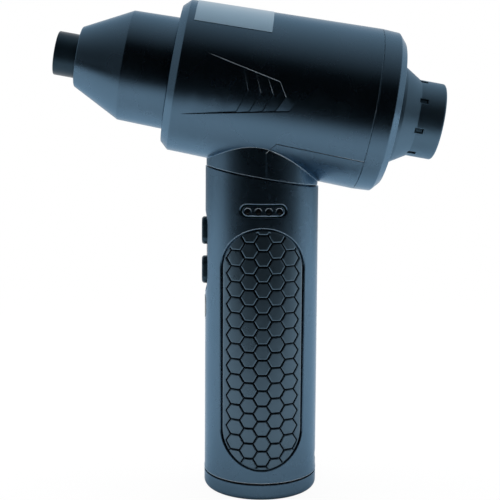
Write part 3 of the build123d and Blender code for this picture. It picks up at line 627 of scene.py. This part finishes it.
def padTree(material):
    # adds the hexagonal tiles to the flat plate and wraps the whole round the grip
    tree = bpy.data.node_groups.new("hexPad", "GeometryNodeTree")
    tree.interface.new_socket("Geometry", in_out="INPUT", socket_type="NodeSocketGeometry")
    for name in ("Side", "Wall", "Steep Step", "Steep Inset", "Flat Step", "Flat Inset", "Column Pitch",
                 "Row Pitch", "First Row", "Depth", "Foot Radius", "Taper", "Hand"):
        tree.interface.new_socket(name, in_out="INPUT", socket_type="NodeSocketFloat")
    tree.interface.new_socket("Middle Rows", in_out="INPUT", socket_type="NodeSocketInt")
    tree.interface.new_socket("Geometry", in_out="OUTPUT", socket_type="NodeSocketGeometry")
    given = addNode(tree, "NodeGroupInput").outputs
    where = addNode(tree, "ShaderNodeSeparateXYZ", {
        "Vector": addNode(tree, "GeometryNodeInputPosition").outputs["Position"]}).outputs

    # one tile: a hexagonal boss with a rounded rim, its top split up so that it can follow the curve
    blank = addNode(tree, "GeometryNodeMeshCircle", {"Vertices": 6, "Radius": given["Side"]},
                    fill_type="TRIANGLE_FAN")
    blank = addNode(tree, "GeometryNodeSubdivideMesh", {"Mesh": blank, "Level": 1})
    wall = addNode(tree, "GeometryNodeExtrudeMesh", {
        "Mesh": blank, "Offset Scale": given["Wall"], "Individual": False})
    tile, top = wall.outputs["Mesh"], wall.outputs["Top"]
    for step, inset in (("Steep Step", "Steep Inset"), ("Flat Step", "Flat Inset")):
        rise = addNode(tree, "GeometryNodeExtrudeMesh", {
            "Mesh": tile, "Selection": top, "Offset Scale": given[step], "Individual": False})
        top = rise.outputs["Top"]
        lost = addNode(tree, "ShaderNodeMath", {0: given[inset], 1: given["Side"]}, operation="DIVIDE")
        left = addNode(tree, "ShaderNodeMath", {0: 1.0, 1: lost}, operation="SUBTRACT")
        tile = addNode(tree, "GeometryNodeScaleElements", {
            "Geometry": rise, "Selection": top,
            "Scale": left}).outputs["Geometry"]
    under = addNode(tree, "GeometryNodeFlipFaces", {"Mesh": blank})
    closed = addNode(tree, "GeometryNodeJoinGeometry")
    tree.links.new(tile, closed.inputs[0])
    tree.links.new(under.outputs["Mesh"], closed.inputs[0])

    # points of the lattice: a column's rows start half a pitch lower for each step from the middle
    outer = pad["outerColumn"]
    column = addNode(tree, "GeometryNodeMeshLine", {
        "Count": 2 * outer + 1, "Start Location": (-outer, 0.0, 0.0), "Offset": (1.0, 0.0, 0.0)})
    rows = addNode(tree, "GeometryNodeMeshLine", {
        "Count": given["Middle Rows"], "Offset": (0.0, 0.0, 1.0)})
    lattice = addNode(tree, "GeometryNodeInstanceOnPoints", {"Points": column, "Instance": rows})
    lattice = addNode(tree, "GeometryNodeRealizeInstances", {"Geometry": lattice})
    aside = addNode(tree, "ShaderNodeMath", {0: where["X"]}, operation="ABSOLUTE").outputs[0]
    count = addNode(tree, "ShaderNodeMath", {0: given["Middle Rows"], 1: aside}, operation="SUBTRACT")
    last = addNode(tree, "ShaderNodeMath", {0: count, 1: 0.5}, operation="SUBTRACT")
    spare = addNode(tree, "FunctionNodeCompare", {0: where["Z"], 1: last}, operation="GREATER_THAN")
    lattice = addNode(tree, "GeometryNodeDeleteGeometry", {
        "Geometry": lattice, "Selection": spare}, domain="POINT")
    row = addNode(tree, "ShaderNodeMath", {0: aside, 1: 0.5, 2: where["Z"]}, operation="MULTIPLY_ADD")
    down = addNode(tree, "ShaderNodeMath", {0: row, 1: given["Row Pitch"]}, operation="MULTIPLY")
    across = addNode(tree, "ShaderNodeMath", {
        0: where["X"], 1: given["Column Pitch"]}, operation="MULTIPLY")
    sunk = addNode(tree, "ShaderNodeMath", {0: given["Depth"], 1: -1.0}, operation="MULTIPLY")
    level = addNode(tree, "ShaderNodeMath", {0: given["First Row"], 1: down}, operation="SUBTRACT")
    spot = addNode(tree, "ShaderNodeCombineXYZ", {"X": across, "Y": sunk, "Z": level})
    lattice = addNode(tree, "GeometryNodeSetPosition", {"Geometry": lattice, "Position": spot})
    tiles = addNode(tree, "GeometryNodeInstanceOnPoints", {
        "Points": lattice, "Instance": closed,
        "Rotation": (-math.pi / 2, 0.0, 0.0)})
    whole = addNode(tree, "GeometryNodeJoinGeometry")
    tree.links.new(given["Geometry"], whole.inputs[0])
    tree.links.new(tiles.outputs["Instances"], whole.inputs[0])
    whole = addNode(tree, "GeometryNodeRealizeInstances", {"Geometry": whole})

    # wrap: x stays where the pattern puts it, y becomes the distance out from the grip's skin
    radius = addNode(tree, "ShaderNodeMath", {
        0: where["Z"], 1: given["Taper"], 2: given["Foot Radius"]}, operation="MULTIPLY_ADD").outputs[0]
    reach = addNode(tree, "ShaderNodeMath", {0: radius, 1: where["Y"]}, operation="ADD")
    swell = addNode(tree, "ShaderNodeMath", {0: reach, 1: radius}, operation="DIVIDE").outputs[0]
    wholeSquare = addNode(tree, "ShaderNodeMath", {0: radius, 1: radius}, operation="MULTIPLY")
    sideSquare = addNode(tree, "ShaderNodeMath", {0: where["X"], 1: where["X"]}, operation="MULTIPLY")
    square = addNode(tree, "ShaderNodeMath", {0: wholeSquare, 1: sideSquare}, operation="SUBTRACT")
    skin = addNode(tree, "ShaderNodeMath", {0: square}, operation="SQRT")
    turned = addNode(tree, "ShaderNodeMath", {0: swell, 1: given["Hand"]}, operation="MULTIPLY")
    out = addNode(tree, "ShaderNodeMath", {0: skin, 1: turned}, operation="MULTIPLY")
    wide = addNode(tree, "ShaderNodeMath", {0: where["X"], 1: swell}, operation="MULTIPLY")
    spot = addNode(tree, "ShaderNodeCombineXYZ", {"X": wide, "Y": out, "Z": where["Z"]})
    scaled = addNode(tree, "ShaderNodeVectorMath", {0: spot, "Scale": mm}, operation="SCALE")
    whole = addNode(tree, "GeometryNodeSetPosition", {"Geometry": whole, "Position": scaled})
    coated = addNode(tree, "GeometryNodeSetMaterial", {"Geometry": whole, "Material": material})
    addNode(tree, "NodeGroupOutput", {"Geometry": coated})
    return tree


def applyTree(piece, tree, values):
    # runs the tree on the piece's mesh, then keeps the result as a plain mesh
    modifier = piece.modifiers.new("nodes", "NODES")
    modifier.node_group = tree
    for item in tree.interface.items_tree:
        if item.in_out == "INPUT" and item.name in values:
            modifier[item.identifier] = values[item.name]
    evaluated = piece.evaluated_get(bpy.context.evaluated_depsgraph_get())
    mesh = bpy.data.meshes.new_from_object(evaluated)
    piece.modifiers.remove(modifier)
    piece.data = mesh


def gripPads():
    tree = padTree(materials["grip"])
    (_, wallTop), (steepEnd, steepTop), (flatEnd, _) = roundedEdge
    tile = (pad["rowPitch"] - pad["groove"]) / 2
    slant = math.cos(math.pi / 6)
    values = {
        "Side": tile / slant, "Wall": pad["depth"] + wallTop,
        "Steep Step": steepTop - wallTop, "Steep Inset": steepEnd / slant,
        "Flat Step": -steepTop, "Flat Inset": (flatEnd - steepEnd) / slant,
        "Column Pitch": pad["columnPitch"], "Row Pitch": pad["rowPitch"],
        "First Row": pad["firstRowZ"], "Depth": pad["depth"], "Middle Rows": pad["middleRows"],
        "Taper": gripTaper(), "Foot Radius": gripSkin(0)}
    plate = padPlate(*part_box("grip_pad_left"))
    for node in ("grip_pad_left", "grip_pad_right"):
        low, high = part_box(node)
        values["Hand"] = 1.0 if low.y + high.y > 0 else -1.0
        piece = newObject("hexPad" + node.split("_")[-1].capitalize(), plate.copy())
        applyTree(piece, tree, values)
        shadeMesh(piece.data, True)
        finishPiece(piece, materials["grip"], node)
        print(piece.name, len(piece.data.polygons), "faces")


gripPads()


# charge indicator: a flush pill insert with four lamp holes, and a domed light pipe in each
indicator = {
    "width": 16.6, "height": 4.0, "lamps": 4, "lampPitch": 4.08, "lampDrop": 0.2,
    "holeRadius": 1.3, "holeDepth": 1.0, "thick": 2.2, "spanX": 1.0, "circleSteps": 32,
    "pipeRadius": 1.15, "pipeInnerY": 18.0, "domeTop": 0.75, "domeSag": 0.12, "domeSteps": 6,
    "hand": -1,                    # it sits on the grip's near side
}
holeEdge = ((-0.03, -indicator["holeDepth"]), (0.0, -0.1), (0.1, 0.0))


def onGrip(x, out, z, hand):
    # a point of a flat plate wrapped round the grip, out from its skin
    radius = gripSkin(z)
    swell = 1 + out / radius
    return Vector((x * swell, hand * math.sqrt(radius * radius - x * x) * swell, z)) * mm


def lampPlaces():
    low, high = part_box("indicator_bezel")
    middleZ = (low.z + high.z) / 2 / mm
    first = (indicator["lamps"] - 1) / 2
    return middleZ, [Vector(((i - first) * indicator["lampPitch"], middleZ - indicator["lampDrop"]))
                     for i in range(indicator["lamps"])]


def indicatorInsert():
    middleZ, lamps = lampPlaces()
    halfLength, halfWidth = indicator["width"] / 2, indicator["height"] / 2
    centre = Vector((0, middleZ))
    contours = [pillOutline(halfWidth, halfLength, centre, inset, False) for inset, _ in roundedEdge]
    for offset, _ in holeEdge:
        contours += [circleOutline(lamp, indicator["holeRadius"] + offset, indicator["circleSteps"])
                     for lamp in lamps]
    steps = int(halfLength / indicator["spanX"])
    reach = Vector((0, halfWidth + 1))
    spans = [(centre + Vector((i * indicator["spanX"], 0)) - reach,
              centre + Vector((i * indicator["spanX"], 0)) + reach) for i in range(-steps, steps + 1)]

    def height(point):
        rim = dip(pillDistance(point, halfWidth, halfLength, centre, False), roundedEdge)
        near = min((point - lamp).length for lamp in lamps) - indicator["holeRadius"]
        return min(rim, dip(near, holeEdge))

    mesh = reliefPlate("indicatorInsert", contours, spans, height, indicator["thick"])
    for vert in mesh.vertices:
        vert.co = onGrip(*vert.co, indicator["hand"])
    shadeMesh(mesh, True)
    finishPiece(newObject("indicatorInsert", mesh),
                materials[slotOf["indicator_bezel"]], "indicator_bezel")


def lightPipes():
    # four rods turned about Y, each with a shallow dome at its outer end
    bm = bmesh.new()
    steps, hand = indicator["circleSteps"], indicator["hand"]
    for lamp in lampPlaces()[1]:
        topY = hand * onGrip(lamp.x, 0, lamp.y, hand).y / mm - indicator["domeTop"]
        profile = [(indicator["pipeRadius"], indicator["pipeInnerY"])]
        for step in range(indicator["domeSteps"]):
            share = 1 - step / indicator["domeSteps"]
            profile.append((indicator["pipeRadius"] * share, topY - indicator["domeSag"] * share ** 2))
        rings = [[bm.verts.new(Vector((p.x, hand * y, p.y)) * mm)
                  for p in circleOutline(lamp, radius, steps)] for radius, y in profile]
        for inner, outer in zip(rings, rings[1:]):
            for i in range(steps):
                bm.faces.new((inner[i], inner[i - 1], outer[i - 1], outer[i]))
        bm.faces.new(rings[0])
        tip = bm.verts.new(Vector((lamp.x, hand * topY, lamp.y)) * mm)
        for i in range(steps):
            bm.faces.new((rings[-1][i], rings[-1][i - 1], tip))
    mesh = meshFrom(bm, "lightPipes", True)
    mesh.shade_smooth()
    finishPiece(newObject("lightPipes", mesh), materials["pipe"], "light_pipes")


indicatorInsert()
lightPipes()
print("charge indicator ready")


# fillet where the barrel's underside meets the neck, on the cover's side of the parting line
saddle = {
    "barrelFrontU": -33.3, "barrelFrontRadius": 29.8, "barrelRearU": 41.75, "barrelRearRadius": 32.0,
    "neckRadius": 22.25, "reach": 0.35, "sink": 0.2, "curveSteps": 5, "turnStep": 2.5,
    "firstTurn": -82.2, "lastTurn": 82.2,
    "passes": 8,                   # how often the height of the junction is worked out again
}


def junctionPoint(angle):
    # where the neck's cylinder meets the underside of the barrel's cone, in millimetres
    x, y = saddle["neckRadius"] * math.cos(angle), saddle["neckRadius"] * math.sin(angle)
    slope = (saddle["barrelRearRadius"] - saddle["barrelFrontRadius"]) / \
        (saddle["barrelRearU"] - saddle["barrelFrontU"])
    z = 0.0
    for _ in range(saddle["passes"]):
        arm = Vector((x, y, z)) - barrelHub / mm
        radius = saddle["barrelFrontRadius"] + slope * (arm.dot(barrelAxis) - saddle["barrelFrontU"])
        drop = arm.dot(barrelUp) + math.sqrt(radius * radius - y * y)
        z -= drop / barrelUp.z
    return Vector((x, y, z))


def filletLoop(angle):
    point = junctionPoint(angle)
    arm = point - barrelHub / mm
    offBarrel = (arm - barrelAxis * arm.dot(barrelAxis)).normalized()
    offNeck = Vector((math.cos(angle), math.sin(angle), 0))
    alongBarrel = (offNeck - offBarrel * offNeck.dot(offBarrel)).normalized() * saddle["reach"]
    alongNeck = (offBarrel - offNeck * offNeck.dot(offBarrel)).normalized() * saddle["reach"]
    loop = [point - (offBarrel + offNeck) * saddle["sink"]]
    for step in range(saddle["curveSteps"] + 1):
        t = step / saddle["curveSteps"]
        loop.append(point + alongBarrel * (1 - t) ** 2 + alongNeck * t ** 2)
    return loop


def saddleFillet():
    first, last = saddle["firstTurn"], saddle["lastTurn"]
    count = round((last - first) / saddle["turnStep"])
    bm = bmesh.new()
    loops = []
    for step in range(count + 1):
        angle = math.radians(first + (last - first) * step / count)
        loops.append([bm.verts.new(point * mm) for point in filletLoop(angle)])
    for here, there in zip(loops, loops[1:]):
        joinLoops(bm, here, there)
    bm.faces.new(loops[0])
    bm.faces.new(loops[-1])
    addTrim("saddleFillet", meshFrom(bm, "saddleFillet", True), "saddle_cover")


saddleFillet()
print("saddle fillet ready")


def flatRing(bm, inner, outer, low, high):
    # closed band between two outlines with the same number of points
    loops = [[bm.verts.new((p.x, p.y, z)) for p in outline]
             for outline, z in ((inner, low), (outer, low), (outer, high), (inner, high))]
    for here, there in zip(loops, loops[1:] + loops[:1]):
        joinLoops(bm, here, there)


# lacquered lip that all but fills the rear cap's seam
seamLip = {"frontU": 41.78, "rearU": 42.02, "inner": 31.2, "outer": 31.93, "steps": 128}


def rearSeamLip():
    bm = bmesh.new()
    centre = Vector((0, 0))
    flatRing(bm, circleOutline(centre, seamLip["inner"], seamLip["steps"]),
             circleOutline(centre, seamLip["outer"], seamLip["steps"]),
             seamLip["frontU"], seamLip["rearU"])
    bmesh.ops.transform(bm, matrix=barrelPlace(0), verts=bm.verts)
    addTrim("rearSeamLip", meshFrom(bm, "rearSeamLip", True), "rear_cap")


# and lips of the same kind in the neck's parting line, one on each side
neckLip = {
    "frontX": 0.73, "rearX": 0.97, "innerY": 21.4, "outerY": 22.17, "crownY": 22.19,
    "lowZ": 128.9, "highZ": 138.1,
}


def neckSeamLips():
    crownX = (neckLip["frontX"] + neckLip["rearX"]) / 2
    section = (
        (neckLip["frontX"], neckLip["innerY"]), (neckLip["rearX"], neckLip["innerY"]),
        (neckLip["rearX"], neckLip["outerY"]), (crownX, neckLip["crownY"]),
        (neckLip["frontX"], neckLip["outerY"]))
    bm = bmesh.new()
    for hand in (-1, 1):
        low, high = ([bm.verts.new(Vector((x, hand * y, z)) * mm) for x, y in section]
                     for z in (neckLip["lowZ"], neckLip["highZ"]))
        joinLoops(bm, low, high)
        bm.faces.new(low)
        bm.faces.new(high)
    addTrim("neckSeamLips", meshFrom(bm, "neckSeamLips", True), "barrel_shell")


rearSeamLip()
neckSeamLips()
print("seam lips ready")


# intake filter: a sheet of round holes from hexagonal cells laid edge to edge, inside a plain rim
sieve = {
    "pitch": 1.6, "holeShare": 0.66, "reach": 12.0, "rows": 17, "frontU": 56.3, "thick": 0.8,
    "rimInner": 11.4, "rimOuter": 13.3, "rimRise": 0.05, "rimSteps": 96,
}


def sieveCell():
    # one hexagon with a round hole; its outer sides are left open where the next cell joins
    flat = sieve["pitch"] / 2
    corners = []
    for i in range(12):            # a corner and the middle of a side in turn
        reach = flat if i % 2 else flat / math.cos(math.pi / 6)
        corners.append(Vector((math.sin(math.pi / 6 * i), math.cos(math.pi / 6 * i))) * reach)
    hole = [corner.normalized() * flat * sieve["holeShare"] for corner in corners]
    bm = bmesh.new()
    flatRing(bm, hole, corners, 0, sieve["thick"])
    return meshFrom(bm, "sieveCell")


def sieveTree(material):
    # repeats the incoming cell over a triangular lattice, as far out as the reach
    tree = bpy.data.node_groups.new("sieve", "GeometryNodeTree")
    tree.interface.new_socket("Geometry", in_out="INPUT", socket_type="NodeSocketGeometry")
    tree.interface.new_socket("Pitch", in_out="INPUT", socket_type="NodeSocketFloat")
    tree.interface.new_socket("Reach", in_out="INPUT", socket_type="NodeSocketFloat")
    tree.interface.new_socket("Rows", in_out="INPUT", socket_type="NodeSocketInt")
    tree.interface.new_socket("Geometry", in_out="OUTPUT", socket_type="NodeSocketGeometry")
    given = addNode(tree, "NodeGroupInput").outputs
    place = addNode(tree, "GeometryNodeInputPosition").outputs["Position"]
    where = addNode(tree, "ShaderNodeSeparateXYZ", {"Vector": place}).outputs

    side = addNode(tree, "ShaderNodeMath", {0: given["Rows"], 1: 1.0}, operation="SUBTRACT").outputs[0]
    grid = addNode(tree, "GeometryNodeMeshGrid", {
        "Size X": side, "Size Y": side, "Vertices X": given["Rows"], "Vertices Y": given["Rows"]})
    # every second row moves half a pitch aside
    odd = addNode(tree, "ShaderNodeMath", {0: where["Y"], 1: 1.0}, operation="PINGPONG")
    across = addNode(tree, "ShaderNodeMath", {
        0: odd, 1: 0.5, 2: where["X"]}, operation="MULTIPLY_ADD")
    along = addNode(tree, "ShaderNodeMath", {0: where["Y"], 1: math.sqrt(0.75)}, operation="MULTIPLY")
    flat = addNode(tree, "ShaderNodeCombineXYZ", {"X": across, "Y": along})
    spot = addNode(tree, "ShaderNodeVectorMath", {
        0: flat, "Scale": given["Pitch"]}, operation="SCALE")
    lattice = addNode(tree, "GeometryNodeSetPosition", {"Geometry": grid, "Position": spot})
    away = addNode(tree, "ShaderNodeVectorMath", {0: place}, operation="LENGTH")
    spare = addNode(tree, "FunctionNodeCompare", {
        0: away.outputs["Value"], 1: given["Reach"]}, operation="GREATER_THAN")
    lattice = addNode(tree, "GeometryNodeDeleteGeometry", {
        "Geometry": lattice, "Selection": spare}, domain="POINT")
    cells = addNode(tree, "GeometryNodeInstanceOnPoints", {
        "Points": lattice, "Instance": given["Geometry"]})
    whole = addNode(tree, "GeometryNodeRealizeInstances", {"Geometry": cells})
    coated = addNode(tree, "GeometryNodeSetMaterial", {"Geometry": whole, "Material": material})
    addNode(tree, "NodeGroupOutput", {"Geometry": coated})
    return tree


def intakeFilter():
    material = materials[slotOf["intake_filter"]]
    piece = newObject("intakeFilter", sieveCell())
    applyTree(piece, sieveTree(material), {
        "Pitch": sieve["pitch"], "Reach": sieve["reach"], "Rows": sieve["rows"]})
    bm = bmesh.new()
    bm.from_mesh(piece.data)
    centre = Vector((0, 0))
    flatRing(bm, circleOutline(centre, sieve["rimInner"], sieve["rimSteps"]),
             circleOutline(centre, sieve["rimOuter"], sieve["rimSteps"]),
             -sieve["rimRise"], sieve["thick"] + sieve["rimRise"])
    bmesh.ops.transform(bm, matrix=barrelPlace(sieve["frontU"]), verts=bm.verts)
    bmesh.ops.remove_doubles(bm, verts=bm.verts, dist=shading["merge"])
    bmesh.ops.recalc_face_normals(bm, faces=bm.faces)
    bm.to_mesh(piece.data)
    bm.free()
    finishPiece(piece, material, "intake_filter")
    print("intake filter", len(piece.data.polygons), "faces")


intakeFilter()


# shells and other turned parts keep the CAD shape, with smooth shading
smoothParts = {
    "barrel_shell": "barrelShell", "saddle_cover": "saddleCover", "rear_cap": "rearCap",
    "nozzle_body": "nozzleBody", "nozzle_tip": "nozzleTip", "intake_collar": "intakeCollar",
    "intake_cage": "intakeCage", "grip_tube": "gripTube", "bottom_cap": "bottomCap",
    "cap_gasket": "capGasket", "base_pad": "basePad", "button_panel": "buttonPanel",
    "power_button": "powerButton", "speed_button": "speedButton", "light_lens": "lightLens",
    "foil_label": "foilLabel",
    "nozzle_seal": "nozzleSeal", "intake_seal": "intakeSeal", "tail_cone": "tailCone",
    "charge_port": "chargePort", "fan_duct": "fanDuct", "impeller": "impellerWheel",
    "impeller_nut": "impellerNut",
}
for node, name in smoothParts.items():
    smoothPiece(node, name)
print("smooth pieces:", len(smoothParts))


# studio
studio = {
    "cameraPlace": (-15.3, -470.1, 167.8), "yaw": 1.3, "pitch": 8.47, "roll": 0.367, "lens": 84.53,
    "sensor": 36, "nearClip": 10,
    "floorRadius": 4000, "floorSides": 96, "floorColour": "#f1f2f3", "floorRoughness": 0.9,
    "floorShow": 0.055,            # how much of the shadow shows
    "shadeReach": (220, 520),      # how far round the base it shows
    "tableEdge": (-110, -400),     # where the lit table ends, towards the eye
    "darkFront": -0.76, "brightBack": 0.78, "topLoss": 0.08, "leftLoss": 0.12,
    "fill": 0.4, "white": "#ffffff", "black": "#000000",
}
# soft boxes that reflections don't show: place, aim and size in millimetres, power in watts
lamps = {
    "topBox": {"place": (0, 200, 900), "aim": (0, 0, 100), "size": (900, 700), "power": 7.5},
    "leftBox": {"place": (-800, 250, 350), "aim": (0, 0, 120), "size": (500, 700), "power": 3},
    "rightBox": {"place": (800, 250, 350), "aim": (0, 0, 120), "size": (500, 700), "power": 3},
}


def addCamera():
    yaw, pitch, roll = (math.radians(studio[k]) for k in ("yaw", "pitch", "roll"))
    ahead = Vector((math.sin(yaw) * math.cos(pitch), math.cos(yaw) * math.cos(pitch), -math.sin(pitch)))
    level = Vector((math.cos(yaw), -math.sin(yaw), 0))
    above = level.cross(ahead)
    right = level * math.cos(roll) + above * math.sin(roll)
    up = above * math.cos(roll) - level * math.sin(roll)
    data = bpy.data.cameras.new("camera")
    data.lens = studio["lens"]
    data.sensor_width = studio["sensor"]
    data.clip_start = studio["nearClip"] * mm
    camera = bpy.data.objects.new("camera", data)
    turn = Matrix((right, up, -ahead)).transposed().to_4x4()
    camera.matrix_world = Matrix.Translation(Vector(studio["cameraPlace"]) * mm) @ turn
    bpy.context.scene.collection.objects.link(camera)
    bpy.context.scene.camera = camera


def addFloor():
    # white to the eye, with the shadow near the base; reflections see a table that ends towards the eye
    bm = bmesh.new()
    bmesh.ops.create_circle(
        bm, cap_ends=True, segments=studio["floorSides"], radius=studio["floorRadius"] * mm)
    mesh = meshFrom(bm, "floor")
    floor = newObject("floor", mesh)
    material = bpy.data.materials.new("paleFloor")
    material.use_nodes = True
    tree = material.node_tree
    shader = tree.nodes["Principled BSDF"]
    shader.inputs["Base Color"].default_value = linearColour(studio["floorColour"])
    shader.inputs["Roughness"].default_value = studio["floorRoughness"]
    place = addNode(tree, "ShaderNodeTexCoord").outputs["Object"]
    away = addNode(tree, "ShaderNodeVectorMath", {0: place}, operation="LENGTH").outputs["Value"]
    path = addNode(tree, "ShaderNodeLightPath").outputs
    near, far = (reach * mm for reach in studio["shadeReach"])
    show = addNode(tree, "ShaderNodeMapRange", {
        "Value": away, "From Min": near, "From Max": far, "To Min": 1 - studio["floorShow"],
        "To Max": 1.0}, interpolation_type="SMOOTHSTEP")
    share = addNode(tree, "ShaderNodeMath", {
        0: path["Is Camera Ray"], 1: show}, operation="MULTIPLY")
    white = addNode(tree, "ShaderNodeEmission", {
        "Color": linearColour(studio["white"]), "Strength": 1.0})
    eye = addNode(tree, "ShaderNodeMixShader", {0: share, 1: shader, 2: white})
    depth = addNode(tree, "ShaderNodeSeparateXYZ", {"Vector": place}).outputs["Y"]
    lit, unlit = (edge * mm for edge in studio["tableEdge"])
    dark = addNode(tree, "ShaderNodeMapRange", {
        "Value": depth, "From Min": unlit, "From Max": lit, "To Min": 1.0, "To Max": 0.0},
        interpolation_type="SMOOTHSTEP")
    gone = addNode(tree, "ShaderNodeMath", {
        0: path["Is Glossy Ray"], 1: dark}, operation="MULTIPLY")
    black = addNode(tree, "ShaderNodeEmission", {
        "Color": linearColour(studio["black"]), "Strength": 0.0})
    whole = addNode(tree, "ShaderNodeMixShader", {0: gone, 1: eye, 2: black})
    tree.links.new(whole.outputs[0], tree.nodes["Material Output"].inputs["Surface"])
    mesh.materials.append(material)


def addLamp(name, place, aim, size, power):
    data = bpy.data.lights.new(name, "AREA")
    data.energy = power
    data.shape = "RECTANGLE"
    data.size, data.size_y = (side * mm for side in size)
    lamp = bpy.data.objects.new(name, data)
    lamp.location = Vector(place) * mm
    way = Vector(aim) * mm - lamp.location
    lamp.rotation_euler = way.to_track_quat("-Z", "Y").to_euler()
    lamp.visible_camera = False
    lamp.visible_glossy = False
    bpy.context.scene.collection.objects.link(lamp)


def addWorld():
    # white to the eye and an even soft fill; reflections see a tent, bright behind and dark in front
    world = bpy.data.worlds.new("studio")
    world.use_nodes = True
    bpy.context.scene.world = world
    tree = world.node_tree
    place = addNode(tree, "ShaderNodeTexCoord").outputs["Generated"]
    parts = addNode(tree, "ShaderNodeSeparateXYZ", {"Vector": place}).outputs
    depth = addNode(tree, "ShaderNodeMath", {
        0: parts["Z"], 1: -studio["topLoss"], 2: parts["Y"]}, operation="MULTIPLY_ADD").outputs[0]
    depth = addNode(tree, "ShaderNodeMath", {
        0: parts["X"], 1: studio["leftLoss"], 2: depth}, operation="MULTIPLY_ADD").outputs[0]
    tent = addNode(tree, "ShaderNodeMapRange", {
        "Value": depth, "From Min": studio["darkFront"],
        "From Max": studio["brightBack"]}).outputs["Result"]
    path = addNode(tree, "ShaderNodeLightPath").outputs
    mirrored = addNode(tree, "ShaderNodeMath", {
        0: path["Is Glossy Ray"], 1: path["Is Transmission Ray"]}, operation="MAXIMUM").outputs[0]
    level = addNode(tree, "ShaderNodeMix", {
        "Factor": mirrored, "A": studio["fill"], "B": tent}, data_type="FLOAT").outputs["Result"]
    strength = addNode(tree, "ShaderNodeMath", {
        0: level, 1: path["Is Camera Ray"]}, operation="MAXIMUM").outputs[0]
    tree.links.new(strength, tree.nodes["Background"].inputs["Strength"])
    tree.nodes["Background"].inputs["Color"].default_value = linearColour(studio["white"])


addCamera()
addFloor()
for name, lamp in lamps.items():
    addLamp(name, **lamp)
addWorld()
bpy.context.scene.view_settings.view_transform = "Standard"
print("studio ready")
